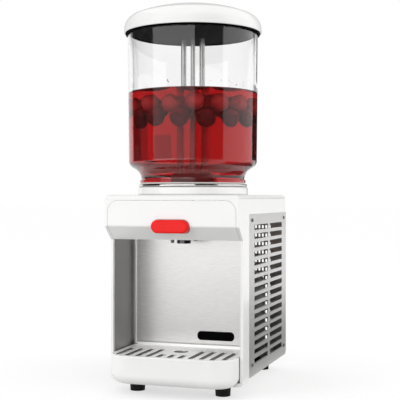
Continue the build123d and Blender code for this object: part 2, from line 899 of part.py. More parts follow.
with BuildPart() as lid_dome:
    with BuildSketch(bowl_section) as dome_outside:
        make_face(dome_profile(lid_radius, lid_top))
        fillet(dome_outside.vertices().group_by(Axis.X)[-1].sort_by(Axis.Y)[-1], lid_edge_radius)
    revolve(axis=bowl_axis)
    with BuildSketch(bowl_section) as dome_inside:
        make_face(dome_profile(lid_radius - lid_wall, lid_top - lid_wall))
        fillet(dome_inside.vertices().group_by(Axis.X)[-1].sort_by(Axis.Y)[-1], lid_edge_radius - lid_wall)
    revolve(axis=bowl_axis, mode=Mode.SUBTRACT)
    with BuildSketch(Plane.XY.offset(liner_top)):
        with Locations((0, bowl_y)):
            Circle(lid_radius - lid_wall / 2)
            Circle(lid_radius - lid_wall - lid_ledge, mode=Mode.SUBTRACT)
    extrude(amount=lid_wall)
keep(lid_dome, "lid_dome")

liner_radius = lid_radius - lid_wall - skin_gap
liner_bottom = lid_rim_height - liner_drop
plug_radius = bowl_rim_radius - bowl_wall - plug_clearance
plug_bottom = bowl_rim_height - liner_plug_drop
with BuildPart() as lid_liner:
    with BuildSketch(bowl_section):
        with BuildLine():
            Polyline(
                (0, plug_bottom),
                (plug_radius, plug_bottom),
                (plug_radius, bowl_rim_height),
                (liner_radius - liner_skirt, bowl_rim_height),
                (liner_radius - liner_skirt, liner_bottom),
                (liner_radius, liner_bottom),
                (liner_radius, liner_top),
                (0, liner_top),
                close=True,
            )
        make_face()
    revolve(axis=bowl_axis)
keep(lid_liner, "lid_liner")

# Spray pump on the deck: housing, impeller and three riser tubes
pump_top = deck_top + pump_height
riser_places = {"left": -riser_spacing, "centre": 0.0, "right": riser_spacing}
riser_sizes = {"left": riser_radius, "centre": riser_middle_radius, "right": riser_radius}
impeller_bottom = deck_top + impeller_floor_gap
with BuildPart() as pump_housing:
    with BuildSketch(Plane.XY.offset(deck_top)):
        with Locations((0, bowl_y)):
            Circle(pump_radius)
    extrude(amount=pump_height)
    with BuildSketch(Plane.XY.offset(pump_top)):
        with Locations((0, bowl_y)):
            SlotOverall(manifold_length, manifold_width)
    extrude(amount=manifold_height)
    with BuildSketch(Plane.XY.offset(deck_top)):
        with Locations((0, bowl_y)):
            Circle(pump_radius - pump_wall)
    extrude(amount=pump_height - pump_roof, mode=Mode.SUBTRACT)
    with BuildSketch(Plane.XY.offset(deck_top)):
        with Locations((0, bowl_y)):
            with PolarLocations(pump_radius, pump_intake_count):
                Rectangle(3 * pump_wall, pump_wall)
    extrude(amount=pump_intake_height, mode=Mode.SUBTRACT)
    for side, across in riser_places.items():
        with BuildSketch(Plane.XY.offset(pump_top)):
            with Locations((across, bowl_y)):
                Circle(riser_sizes[side] + riser_clearance)
        extrude(amount=manifold_height, mode=Mode.SUBTRACT)
        with BuildSketch(Plane.XY.offset(pump_top - pump_roof)):
            with Locations((across, bowl_y)):
                Circle(riser_sizes[side] - riser_wall)
        extrude(amount=pump_roof, mode=Mode.SUBTRACT)
keep(pump_housing, "pump_housing")

for side, across in riser_places.items():
    with BuildPart() as spray_tube:
        with BuildSketch(Plane.XY.offset(pump_top)):
            with Locations((across, bowl_y)):
                Circle(riser_sizes[side])
                Circle(riser_sizes[side] - riser_wall, mode=Mode.SUBTRACT)
        extrude(amount=riser_top - pump_top)
    keep(spray_tube, f"spray_tube_{side}")

with BuildPart() as impeller:
    with BuildSketch(Plane.XY.offset(impeller_bottom)):
        with Locations((0, bowl_y)):
            Circle(impeller_radius)
    extrude(amount=impeller_disc)
    with BuildSketch(Plane.XY.offset(impeller_bottom)):
        with Locations((0, bowl_y)):
            Circle(2.5 * spindle_radius)
            with PolarLocations(impeller_radius / 2, impeller_vane_count):
                Rectangle(impeller_radius - impeller_vane_gap, impeller_disc)
    extrude(amount=impeller_disc + impeller_vane_height)
    with BuildSketch(Plane.XY.offset(impeller_bottom)):
        with Locations((0, bowl_y)):
            Circle(spindle_radius + running_clearance)
    extrude(amount=impeller_disc + impeller_vane_height, mode=Mode.SUBTRACT)
keep(impeller, "impeller")

# Pump drive under the deck: magnet on the motor's shaft
magnet_top = deck_under - magnet_gap
motor_top = deck_under - motor_drop
motor_bottom = motor_top - motor_height
shaft_bottom = motor_top - motor_bore_depth + skin_gap
with BuildPart() as drive_magnet:
    with BuildSketch(Plane.XY.offset(magnet_top)):
        with Locations((0, bowl_y)):
            Circle(magnet_radius)
    extrude(amount=-magnet_height)
    with BuildSketch(Plane.XY.offset(shaft_bottom)):
        with Locations((0, bowl_y)):
            Circle(shaft_radius)
    extrude(amount=magnet_top - magnet_height - shaft_bottom)
keep(drive_magnet, "drive_magnet")

with BuildPart() as pump_motor:
    with BuildSketch(Plane.XY.offset(motor_bottom)):
        with Locations((0, bowl_y)):
            Circle(motor_radius)
    extrude(amount=motor_height)
    chamfer(pump_motor.edges().filter_by(GeomType.CIRCLE), 2 * bracket_gauge / 3)
    with BuildSketch(Plane.XY.offset(motor_top)):
        with Locations((0, bowl_y)):
            Circle(shaft_radius + running_clearance)
    extrude(amount=-motor_bore_depth, mode=Mode.SUBTRACT)
keep(pump_motor, "pump_motor")

with BuildPart() as motor_bracket:
    with BuildSketch(Plane.XZ.offset(-bowl_y)):
        with BuildLine():
            Polyline(
                (-bracket_half_length, insulation_bottom),
                (-bracket_half_length, motor_bottom - bracket_gauge),
                (bracket_half_length, motor_bottom - bracket_gauge),
                (bracket_half_length, insulation_bottom),
            )
            offset(amount=bracket_gauge, side=Side.LEFT)
        make_face()
    extrude(amount=bracket_width / 2, both=True)
keep(motor_bracket, "motor_bracket")

# Drip tray: rounded white drawer that slides out of the niche
tray_half = niche_half - sheet - tray_side_gap
tray_back = niche_back - tray_rear_gap
tray_floor = sill_top + skin_gap


def tray_outline(inset):
    """Plan of the tray, drawn in from its outside by the inset."""
    with BuildLine() as plan:
        FilletPolyline(
            (-tray_half + inset, tray_back - inset),
            (-tray_half + inset, front_y + inset),
            (tray_half - inset, front_y + inset),
            (tray_half - inset, tray_back - inset),
            radius=[
                tray_rear_radius - inset,
                tray_corner_radius - inset,
                tray_corner_radius - inset,
                tray_rear_radius - inset,
            ],
            close=True,
        )
    return plan.edges()


with BuildPart() as drip_tray:
    with BuildSketch(Plane.XY.offset(tray_bottom)):
        make_face(tray_outline(0))
    extrude(amount=tray_top - tray_bottom)
    fillet(drip_tray.faces().sort_by(Axis.Z)[0].edges(), tray_edge_radius)
    fillet(drip_tray.faces().sort_by(Axis.Z)[-1].edges(), tray_rim_radius)
    with BuildSketch(Plane.XY.offset(tray_floor + tray_wall)):
        make_face(tray_outline(2 * tray_wall))
    extrude(amount=tray_top - tray_floor - tray_wall, mode=Mode.SUBTRACT)
    with BuildSketch(Plane.XY.offset(tray_top - grid_gauge)):
        make_face(tray_outline(tray_wall))
    extrude(amount=grid_gauge, mode=Mode.SUBTRACT)
    with BuildSketch(Plane.XY.offset(tray_bottom)):
        with Locations((0, pillar_y - skin_gap)):
            Rectangle(body_width, body_depth, align=(Align.CENTER, Align.MIN))
    extrude(amount=tray_floor - tray_bottom, mode=Mode.SUBTRACT)
keep(drip_tray, "drip_tray")

# Drip grid: slotted steel plate with a drain hole in front of the spout and a rear lip
grid_inset = tray_wall + grid_clearance
grid_slot_start = front_y + grid_slot_front
with BuildPart() as drip_grid:
    with BuildSketch(Plane.XY.offset(tray_top - grid_gauge)):
        make_face(tray_outline(grid_inset))
        short_half = grid_short_slot_count // 2
        reach = short_half + grid_side_slot_count
        grid_slot_pitch = (tray_half - grid_inset - grid_side_margin) / reach
        for column in range(-reach, reach + 1):
            length = grid_short_length if abs(column) <= short_half else grid_slot_length
            setback = grid_corner_setback if abs(column) == reach else 0
            with Locations((column * grid_slot_pitch, grid_slot_start + (length + setback) / 2)):
                SlotOverall(length - setback, grid_slot_width, rotation=90, mode=Mode.SUBTRACT)
        with Locations((0, valve_y - grid_drain_ahead)):
            Circle(grid_drain_radius, mode=Mode.SUBTRACT)
    extrude(amount=grid_gauge)
    with BuildSketch(Plane.XY.offset(tray_top - grid_gauge)):
        with Locations((0, tray_back - grid_inset)):
            Rectangle(
                2 * (tray_half - tray_rear_radius),
                grid_gauge,
                align=(Align.CENTER, Align.MAX),
            )
    extrude(amount=grid_gauge + grid_lip_height)
keep(drip_grid, "drip_grid")

# Side panels: louvred steel, folded in at the bottom and the rear
panel_front = pillar_y + pillar_depth
panel_length = rear_y - panel_front
panel_height = seam_height - panel_bottom
panel_middle = (panel_front + panel_length / 2, panel_bottom + panel_height / 2)
side_screw_places = [
    (panel_front + side_screw_inset, panel_bottom + side_screw_inset),
    (rear_y - side_screw_inset, panel_bottom + side_screw_inset),
    (panel_front + side_screw_inset, seam_height - side_screw_top_drop),
    (rear_y - side_screw_inset, seam_height - side_screw_top_drop),
]
rear_screw_places = [
    (side * (half_width - rear_screw_inset), height)
    for side in (-1, 1)
    for height in (panel_bottom + side_screw_inset, seam_height - side_screw_inset)
]
with BuildPart() as side_panel_right:
    with BuildSketch(Plane.YZ.offset(half_width - sheet)):
        with Locations(panel_middle):
            panel_outline = Rectangle(panel_length, panel_height)
        rear_bottom = panel_outline.vertices().group_by(Axis.Y)[0].sort_by(Axis.X)[-1]
        fillet(rear_bottom, panel_corner_radius)
        with Locations(panel_middle):
            with GridLocations(louvre_length + louvre_gap, louvre_pitch, 2, louvre_row_count):
                RectangleRounded(louvre_length, louvre_height, louvre_corner, mode=Mode.SUBTRACT)
        with Locations(*side_screw_places):
            Circle(screw_radius + screw_clearance, mode=Mode.SUBTRACT)
    extrude(amount=sheet)
    with BuildSketch(Plane.YZ.offset(half_width - sheet)):
        with Locations((panel_middle[0], panel_middle[1] - louvre_height / 2)):
            with GridLocations(louvre_length + louvre_gap, louvre_pitch, 2, louvre_row_count):
                Rectangle(
                    louvre_length - 2 * louvre_corner,
                    sheet,
                    align=(Align.CENTER, Align.MAX),
                )
    extrude(amount=-louvre_lip)
    with BuildSketch(Plane.YZ.offset(half_width - sheet)):
        with Locations((machine_front, panel_bottom)):
            Rectangle(rear_y - machine_front - panel_flange, sheet, align=(Align.MIN, Align.MIN))
    extrude(amount=-panel_flange)
    with BuildSketch(Plane.YZ.offset(half_width - sheet)):
        with Locations((rear_inside, panel_bottom + panel_flange)):
            Rectangle(
                sheet,
                panel_height - panel_flange,
                align=(Align.MAX, Align.MIN),
            )
    extrude(amount=-panel_flange)
    with BuildSketch(Plane.XZ.offset(-rear_inside)):
        with Locations(*rear_screw_places):
            Circle(screw_radius + screw_clearance)
    extrude(amount=sheet, mode=Mode.SUBTRACT)
keep(side_panel_right, "side_panel_right")

with BuildPart() as side_panel_left:
    mirror(side_panel_right.part, about=Plane.YZ)
keep(side_panel_left, "side_panel_left")

with BuildPart() as side_panel_screws:
    with BuildSketch(Plane.YZ.offset(half_width)):
        with Locations(*side_screw_places):
            Circle(screw_head_radius)
    extrude(amount=screw_head_height)
    chamfer(side_panel_screws.faces().filter_by(Axis.X).group_by(Axis.X)[-1].edges(), screw_head_height / 2)
    with BuildSketch(Plane.YZ.offset(half_width)):
        with Locations(*side_screw_places):
            Circle(screw_radius)
    extrude(amount=-screw_length)
    mirror(about=Plane.YZ)
keep(side_panel_screws, "side_panel_screws")

# Rear panel between the side panels, with the vertical grille and the control openings
rear_half = half_width - sheet - panel_clearance / 2
with BuildPart() as rear_panel:
    with BuildSketch(Plane.XZ.offset(-rear_inside)):
        with Locations((0, panel_bottom)):
            Rectangle(2 * rear_half, panel_height, align=(Align.CENTER, Align.MIN))
        grille_centre = half_width - grille_inset - grille_pitch * (grille_column_count - 1) / 2
        with Locations((grille_centre, grille_middle)):
            with GridLocations(grille_pitch, grille_row_pitch, grille_column_count, grille_row_count):
                SlotOverall(grille_length, grille_width, rotation=90, mode=Mode.SUBTRACT)
        with Locations(*rear_screw_places):
            Circle(screw_radius + screw_clearance, mode=Mode.SUBTRACT)
        with Locations((knob_across, control_up)):
            Circle(thermostat_bush_radius + screw_clearance, mode=Mode.SUBTRACT)
        with Locations(*[(across, control_up) for across in switch_across]):
            Rectangle(
                switch_width + 2 * screw_clearance,
                switch_height + 2 * screw_clearance,
                mode=Mode.SUBTRACT,
            )
        with Locations((gland_across, gland_up)):
            Circle(gland_radius - gland_bore_radius / 2 + screw_clearance, mode=Mode.SUBTRACT)
    extrude(amount=-sheet)
keep(rear_panel, "rear_panel")

with BuildPart() as rear_panel_screws:
    with BuildSketch(Plane.XZ.offset(-rear_y)):
        with Locations(*rear_screw_places):
            Circle(screw_head_radius)
    extrude(amount=-screw_head_height)
    with BuildSketch(Plane.XZ.offset(-rear_y)):
        with Locations(*rear_screw_places):
            Circle(screw_radius)
    extrude(amount=screw_length)
keep(rear_panel_screws, "rear_panel_screws")

# Compressor on its mounting plate, with two pipe stubs on top
stub_top = compressor_top + stub_height
stub_xs = (compressor_across - stub_spacing / 2, compressor_across + stub_spacing / 2)
plate_bottom = compressor_bottom - compressor_plate_gauge
with BuildPart() as compressor:
    with BuildSketch(Plane.XY.offset(compressor_bottom)):
        with Locations((compressor_across, compressor_y)):
            Circle(compressor_radius)
    extrude(amount=compressor_top - compressor_bottom)
    fillet(compressor.faces().sort_by(Axis.Z)[-1].edges(), compressor_round)
    with BuildSketch(Plane.XY.offset(compressor_bottom)):
        with Locations((compressor_across, compressor_y)):
            Rectangle(compressor_plate_length, compressor_plate_width)
    extrude(amount=-compressor_plate_gauge)
    with BuildSketch(Plane.XY.offset(compressor_top - compressor_round)):
        with Locations(*[(x, compressor_y) for x in stub_xs]):
            Circle(stub_radius)
    extrude(amount=compressor_round + stub_height)
keep(compressor, "compressor")

with BuildPart() as compressor_grommets:
    with BuildSketch(Plane.XY.offset(pan_top)):
        with Locations(*mount_places):
            Circle(grommet_radius)
    extrude(amount=plate_bottom - pan_top)
keep(compressor_grommets, "compressor_grommets")

relay_front = compressor_y - compressor_radius - relay_depth / 2
with BuildPart() as relay_cover:
    with BuildSketch(Plane.XY.offset(relay_up)):
        with Locations((compressor_across, relay_front)):
            Rectangle(relay_width, relay_depth, align=(Align.CENTER, Align.MIN))
        with Locations((compressor_across, compressor_y)):
            Circle(compressor_radius + skin_gap, mode=Mode.SUBTRACT)
    extrude(amount=relay_height)
keep(relay_cover, "relay_cover")

# Condenser: finned block with one tube that runs to and fro through it
condenser_y = pillar_y + condenser_front
condenser_rear = condenser_y + condenser_length
tube_low = condenser_bottom + fin_margin
tube_high = tube_low + (tube_pass_count - 1) * tube_pitch
condenser_height = tube_high + fin_margin - condenser_bottom
tube_levels = [tube_low + level * tube_pitch for level in range(tube_pass_count)]
fin_pitch = condenser_length / fin_count
with BuildPart() as condenser_fins:
    for fin in range(fin_count):
        with BuildSketch(Plane.XZ.offset(-(condenser_y + fin * fin_pitch))):
            with Locations((condenser_across, condenser_bottom)):
                Rectangle(
                    condenser_thickness,
                    condenser_height,
                    align=(Align.CENTER, Align.MIN),
                )
            with Locations(*[(condenser_across, level) for level in tube_levels]):
                Circle(tube_radius + fin_clearance, mode=Mode.SUBTRACT)
        extrude(amount=-fin_gauge)
keep(condenser_fins, "condenser_fins")

tube_front = condenser_y - tube_end / 2
tube_rear = condenser_rear + tube_end / 2
tube_exit = condenser_rear + 2 * tube_end
with BuildPart() as condenser_tube:
    with BuildLine(Plane.YZ.offset(condenser_across)) as tube_path:
        for number, level in enumerate(tube_levels):
            last = number == tube_pass_count - 1
            back_end = tube_exit if number == 0 or last else tube_rear
            Line((tube_front, level), (back_end, level))
            if not last:
                turn_y = tube_front if number % 2 == 0 else tube_rear
                turn_way = -1 if number % 2 == 0 else 1
                ThreePointArc(
                    (turn_y, level),
                    (turn_y + turn_way * tube_pitch / 2, level + tube_pitch / 2),
                    (turn_y, level + tube_pitch),
                )
    with BuildSketch(Plane.XZ.offset(-tube_exit)):
        with Locations((condenser_across, tube_low)):
            Circle(tube_radius)
    sweep(path=tube_path.wires()[0])
keep(condenser_tube, "condenser_tube")

# Fan behind the condenser: shroud, blades, motor and its post
fan_y = pillar_y + fan_back
shroud_x = condenser_across + condenser_thickness / 2
fan_hub_x = shroud_x + shroud_gauge + fan_hub_gap
fan_motor_x = fan_hub_x + fan_hub_length + fan_motor_gap
fan_motor_length = compressor_across - compressor_radius - fan_motor_end_gap - fan_motor_x
fan_shaft_depth = fan_motor_length / 2
with BuildPart() as fan_shroud:
    with BuildSketch(Plane.YZ.offset(shroud_x)):
        with Locations((condenser_y, pan_top)):
            Rectangle(
                condenser_length,
                condenser_bottom + condenser_height - pan_top,
                align=(Align.MIN, Align.MIN),
            )
        with Locations((fan_y, fan_up)):
            Circle(fan_radius + fan_tip_gap, mode=Mode.SUBTRACT)
    extrude(amount=shroud_gauge)
keep(fan_shroud, "fan_shroud")

fan_axle = Plane((fan_hub_x, fan_y, fan_up), x_dir=(0, 1, 0), z_dir=(1, 0, 0))
blade_middle = Plane((fan_hub_x + fan_hub_length / 2, fan_y, fan_up), x_dir=(0, 1, 0), z_dir=(1, 0, 0))
blade_root = fan_hub_radius - fan_blade_gauge
with BuildPart() as fan_blade:
    with BuildSketch(fan_axle):
        Circle(fan_hub_radius)
    extrude(amount=fan_hub_length)
    for blade in range(fan_blade_count):
        blade_turn = Rotation(0, 0, 360 / fan_blade_count * blade) * Rotation(fan_blade_pitch, 0, 0)
        with BuildSketch(Plane(blade_middle.location * blade_turn)):
            with Locations((blade_root, 0)):
                Rectangle(
                    fan_radius - blade_root,
                    fan_blade_width,
                    align=(Align.MIN, Align.CENTER),
                )
        extrude(amount=fan_blade_gauge / 2, both=True)
    with BuildSketch(fan_axle):
        Circle(shaft_radius)
    extrude(amount=fan_hub_length + fan_motor_gap + fan_shaft_depth)
keep(fan_blade, "fan_blade")

with BuildPart() as fan_motor:
    with BuildSketch(Plane.YZ.offset(fan_motor_x)):
        with Locations((fan_y, fan_up)):
            Circle(fan_motor_radius)
    extrude(amount=fan_motor_length)
    with BuildSketch(Plane.YZ.offset(fan_motor_x)):
        with Locations((fan_y, fan_up)):
            Circle(shaft_radius + running_clearance)
    extrude(amount=fan_shaft_depth + skin_gap, mode=Mode.SUBTRACT)
keep(fan_motor, "fan_motor")

with BuildPart() as fan_post:
    with BuildSketch(Plane.XY.offset(pan_top)):
        with Locations((fan_motor_x + fan_motor_length / 2, fan_y)):
            Rectangle(fan_motor_length / 2, fan_post_width)
    extrude(amount=fan_up - pan_top)
    with BuildSketch(Plane.YZ.offset(fan_motor_x)):
        with Locations((fan_y, fan_up)):
            Circle(fan_motor_radius + skin_gap)
    extrude(amount=fan_motor_length, mode=Mode.SUBTRACT)
keep(fan_post, "fan_post")

# Refrigerant pipes: straight runs with round bends
pipe_y = rear_y - pipe_rear_gap
drier_end_x = condenser_across + drier_start + drier_length
capillary_x = drier_end_x + capillary_run
capillary_top_y = pillar_y + capillary_back
suction_y = pillar_y + suction_back


def bent_pipe(points, radius, bend):
    """Round pipe along the points, with every corner bent to one radius."""
    with BuildLine() as run:
        FilletPolyline(*points, radius=bend)
    way = Vector(points[1]) - Vector(points[0])
    with BuildSketch(Plane(points[0], z_dir=way)) as section:
        Circle(radius)
    sweep(sections=section.sketch, path=run.wires()[0])


with BuildPart() as discharge_pipe:
    bent_pipe(
        [
            (stub_xs[0], compressor_y, stub_top),
            (stub_xs[0], compressor_y, discharge_up),
            (condenser_across, compressor_y, discharge_up),
            (condenser_across, pipe_y, discharge_up),
            (condenser_across, pipe_y, tube_high),
            (condenser_across, tube_exit, tube_high),
        ],
        pipe_radius,
        pipe_bend,
    )
keep(discharge_pipe, "discharge_pipe")

with BuildPart() as suction_pipe:
    bent_pipe(
        [
            (stub_xs[1], compressor_y, stub_top),
            (stub_xs[1], compressor_y, suction_up),
            (stub_xs[1], suction_y, suction_up),
            (stub_xs[1], suction_y, insulation_bottom),
        ],
        pipe_radius,
        pipe_bend,
    )
keep(suction_pipe, "suction_pipe")

with BuildPart() as liquid_pipe:
    bent_pipe(
        [
            (condenser_across, tube_exit, tube_low),
            (condenser_across, pipe_y, tube_low),
            (condenser_across + drier_start, pipe_y, tube_low),
        ],
        pipe_radius,
        pipe_bend,
    )
keep(liquid_pipe, "liquid_pipe")

with BuildPart() as filter_drier:
    with BuildSketch(Plane.YZ.offset(condenser_across + drier_start)):
        with Locations((pipe_y, tube_low)):
            Circle(drier_radius)
    extrude(amount=drier_length)
    chamfer(filter_drier.edges().filter_by(GeomType.CIRCLE), drier_radius / 3)
keep(filter_drier, "filter_drier")

with BuildPart() as capillary_pipe:
    bent_pipe(
        [
            (drier_end_x, pipe_y, tube_low),
            (capillary_x, pipe_y, tube_low),
            (capillary_x, pipe_y, capillary_up),
            (capillary_x, capillary_top_y, capillary_up),
            (capillary_x, capillary_top_y, insulation_bottom),
        ],
        capillary_radius,
        pipe_bend,
    )
keep(capillary_pipe, "capillary_pipe")

# Thermostat behind the rear panel, and its knob
with BuildPart() as thermostat_body:
    with BuildSketch(Plane.XZ.offset(-rear_inside)):
        with Locations((knob_across, control_up)):
            Rectangle(thermostat_width, thermostat_width)
    extrude(amount=thermostat_depth)
    with BuildSketch(Plane.XZ.offset(-rear_inside)):
        with Locations((knob_across, control_up)):
            Circle(thermostat_bush_radius)
    extrude(amount=-thermostat_bush_length)
    with BuildSketch(Plane.XZ.offset(-(rear_inside + thermostat_bush_length))):
        with Locations((knob_across, control_up)):
            Circle(shaft_radius + running_clearance)
    extrude(amount=2 * thermostat_bush_length, mode=Mode.SUBTRACT)
keep(thermostat_body, "thermostat_body")

knob_back = rear_y + knob_gap
bush_clear = thermostat_bush_length - sheet - knob_gap + skin_gap
with BuildPart() as thermostat_knob:
    with BuildSketch(Plane.XZ.offset(-knob_back)):
        with Locations((knob_across, control_up)):
            Circle(knob_radius)
    extrude(amount=-knob_length)
    fillet(thermostat_knob.faces().sort_by(Axis.Y)[-1].edges(), knob_gap)
    with BuildSketch(Plane.XZ.offset(-knob_back)):
        with Locations((knob_across, control_up)):
            Circle(thermostat_bush_radius + skin_gap)
    extrude(amount=-bush_clear, mode=Mode.SUBTRACT)
    with BuildSketch(Plane.XZ.offset(-(knob_back + knob_length))):
        with Locations((knob_across, control_up + knob_radius / 2)):
            Rectangle(knob_pointer_width, knob_radius / 2)
    extrude(amount=knob_gap, mode=Mode.SUBTRACT)
    with BuildSketch(Plane.XZ.offset(-(rear_inside - thermostat_bush_length + skin_gap))):
        with Locations((knob_across, control_up)):
            Circle(shaft_radius)
    extrude(amount=-(knob_back + knob_length / 2 - rear_inside + thermostat_bush_length - skin_gap))
keep(thermostat_knob, "thermostat_knob")

# Rocker switches: housings in the rear panel and a rocker on an axle in each
rocker_width = switch_width - 2 * switch_bezel
rocker_height = switch_height - 2 * switch_bezel
rocker_floor = rear_y - switch_depth / 2
rocker_axle_y = rear_y + switch_bezel_height - rocker_proud
with BuildPart() as switch_housings:
    for across in switch_across:
        with BuildSketch(Plane.XZ.offset(-(rear_y - switch_depth))):
            with Locations((across, control_up)):
                Rectangle(switch_width, switch_height)
        extrude(amount=-switch_depth)
        with BuildSketch(Plane.XZ.offset(-rear_y)):
            with Locations((across, control_up)):
                Rectangle(switch_width + 2 * switch_bezel, switch_height + 2 * switch_bezel)
        extrude(amount=-switch_bezel_height)
        with BuildSketch(Plane.XZ.offset(-rocker_floor)):
            with Locations((across, control_up)):
                Rectangle(rocker_width, rocker_height)
        extrude(amount=-(rear_y + switch_bezel_height - rocker_floor), mode=Mode.SUBTRACT)
        with BuildSketch(Plane.YZ.offset(across)):
            with Locations((rocker_axle_y, control_up)):
                Circle(rocker_axle_radius)
        extrude(amount=switch_width / 2 - switch_bezel / 2, both=True)
keep(switch_housings, "switch_housings")

rocker_half = rocker_height / 2 - 2 * rocker_clearance
rocker_face = rear_y + switch_bezel_height + rocker_proud / 2
for name, across in zip(("power_rocker", "pump_rocker"), switch_across):
    with BuildPart() as rocker:
        with BuildSketch(Plane.YZ.offset(across)):
            with BuildLine():
                Polyline(
                    (rocker_axle_y - rocker_proud, control_up),
                    (rocker_axle_y, control_up + rocker_half),
                    (rocker_face + rocker_clearance, control_up + rocker_half),
                    (rocker_face - rocker_proud / 2, control_up),
                    (rocker_face + rocker_clearance, control_up - rocker_half),
                    (rocker_axle_y, control_up - rocker_half),
                    close=True,
                )
            make_face()
            with Locations((rocker_axle_y, control_up)):
                Circle(rocker_axle_radius + running_clearance, mode=Mode.SUBTRACT)
        extrude(amount=rocker_width / 2 - rocker_clearance, both=True)
    keep(rocker, name)

# Cable gland in the rear panel
with BuildPart() as cable_gland:
    with BuildSketch(Plane.XZ.offset(-rear_y)):
        with Locations((gland_across, gland_up)):
            RegularPolygon(gland_radius, 6)
    extrude(amount=-gland_length / 2)
    with BuildSketch(Plane.XZ.offset(-rear_y)):
        with Locations((gland_across, gland_up)):
            Circle(gland_radius - gland_bore_radius / 2)
    extrude(amount=-gland_length)
    with BuildSketch(Plane.XZ.offset(-rear_y)):
        with Locations((gland_across, gland_up)):
            Circle(gland_radius - gland_bore_radius / 2)
    extrude(amount=gland_inside)
    with BuildSketch(Plane.XZ.offset(-(rear_y + gland_length))):
        with Locations((gland_across, gland_up)):
            Circle(gland_bore_radius)
    extrude(amount=gland_length + gland_inside, mode=Mode.SUBTRACT)
keep(cable_gland, "cable_gland")
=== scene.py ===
"""Juice dispenser: finishes, clear bowl, lid shell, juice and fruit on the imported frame."""

import random
from math import acos, atan2, cos, hypot, pi, radians, sin, tan

import bpy
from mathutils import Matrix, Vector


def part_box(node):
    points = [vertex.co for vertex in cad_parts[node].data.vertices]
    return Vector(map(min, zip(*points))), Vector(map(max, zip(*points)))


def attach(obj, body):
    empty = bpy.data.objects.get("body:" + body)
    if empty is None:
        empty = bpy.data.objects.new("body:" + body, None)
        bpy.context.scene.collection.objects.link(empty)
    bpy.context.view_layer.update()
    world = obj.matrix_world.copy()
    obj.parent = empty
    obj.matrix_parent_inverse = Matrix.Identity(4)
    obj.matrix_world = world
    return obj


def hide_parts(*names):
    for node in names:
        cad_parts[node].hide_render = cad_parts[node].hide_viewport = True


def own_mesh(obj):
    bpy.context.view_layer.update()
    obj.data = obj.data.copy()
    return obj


bl_info = {
    "name": "Juice dispenser",
    "version": (1, 0, 0),
    "blender": (4, 5, 0),
    "location": "View3D > Sidebar > Dispenser",
    "description": "Dresses the juice dispenser's frame and sets it on a studio floor",
    "category": "Object",
}

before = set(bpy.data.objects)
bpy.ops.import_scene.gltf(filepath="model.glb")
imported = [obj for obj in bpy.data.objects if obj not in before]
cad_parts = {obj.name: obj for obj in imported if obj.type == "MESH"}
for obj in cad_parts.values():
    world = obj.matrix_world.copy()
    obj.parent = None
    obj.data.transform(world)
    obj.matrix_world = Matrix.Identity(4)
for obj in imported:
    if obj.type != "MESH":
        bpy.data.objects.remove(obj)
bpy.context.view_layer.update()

MM = 0.001
bowl_low, bowl_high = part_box("bowl")
AXIS_Y = (bowl_low[1] + bowl_high[1]) / 2  # the bowl's axis stands at X = 0
TURN_STEPS = 144
MERGE_WITHIN = 1e-6
SMOOTH_UNDER = radians(35)

# Real sizes of the patterns in the finishes
CLOUD = 60 * MM
SKIN_RELIEF = 0.05 * MM
WALL_RIPPLE, RIPPLE_RELIEF = 70 * MM, 0.3 * MM
JUICE_SWIRL, SWIRL_RELIEF = 30 * MM, 0.2 * MM
CHERRY_PATCH, CHERRY_SPECK, SPECK_RELIEF = 18 * MM, 1.6 * MM, 0.05 * MM
# Painted shade: cherries are dark below the first height and fully red above the second
SHADED_BELOW, LIT_ABOVE = 488 * MM, 512 * MM
# How far roughness wanders either way, on mouldings and on metal
SKIN_GLOSS, GRAIN_GLOSS = 0.04, 0.08
# Colour of the painted shade in narrow seams, and the rays that look for them
SEAM_SHADE, SEAM_RAYS = "#3c3c3b", 8
# Sockets of a Mix node that mixes colours
FACTOR, FIRST, SECOND, MIXED = 0, 6, 7, 2


def colour(code):
    """Linear RGBA of an sRGB hex colour."""
    channels = [int(code[i : i + 2], 16) / 255 for i in (1, 3, 5)]
    linear = [c / 12.92 if c <= 0.04045 else ((c + 0.055) / 1.055) ** 2.4 for c in channels]
    return (*linear, 1.0)


def put(tree, kind, inputs=None, **settings):
    """Adds one shader node, sets its properties and fills or links its inputs."""
    made = tree.nodes.new(kind)
    for key, value in settings.items():
        setattr(made, key, value)
    for key, value in (inputs or {}).items():
        if isinstance(value, bpy.types.NodeSocket):
            tree.links.new(value, made.inputs[key])
        else:
            made.inputs[key].default_value = value
    return made


def fresh(name):
    """A new material with an empty node tree."""
    material = bpy.data.materials.new(name)
    material.use_nodes = True
    material.node_tree.nodes.clear()
    return material, material.node_tree


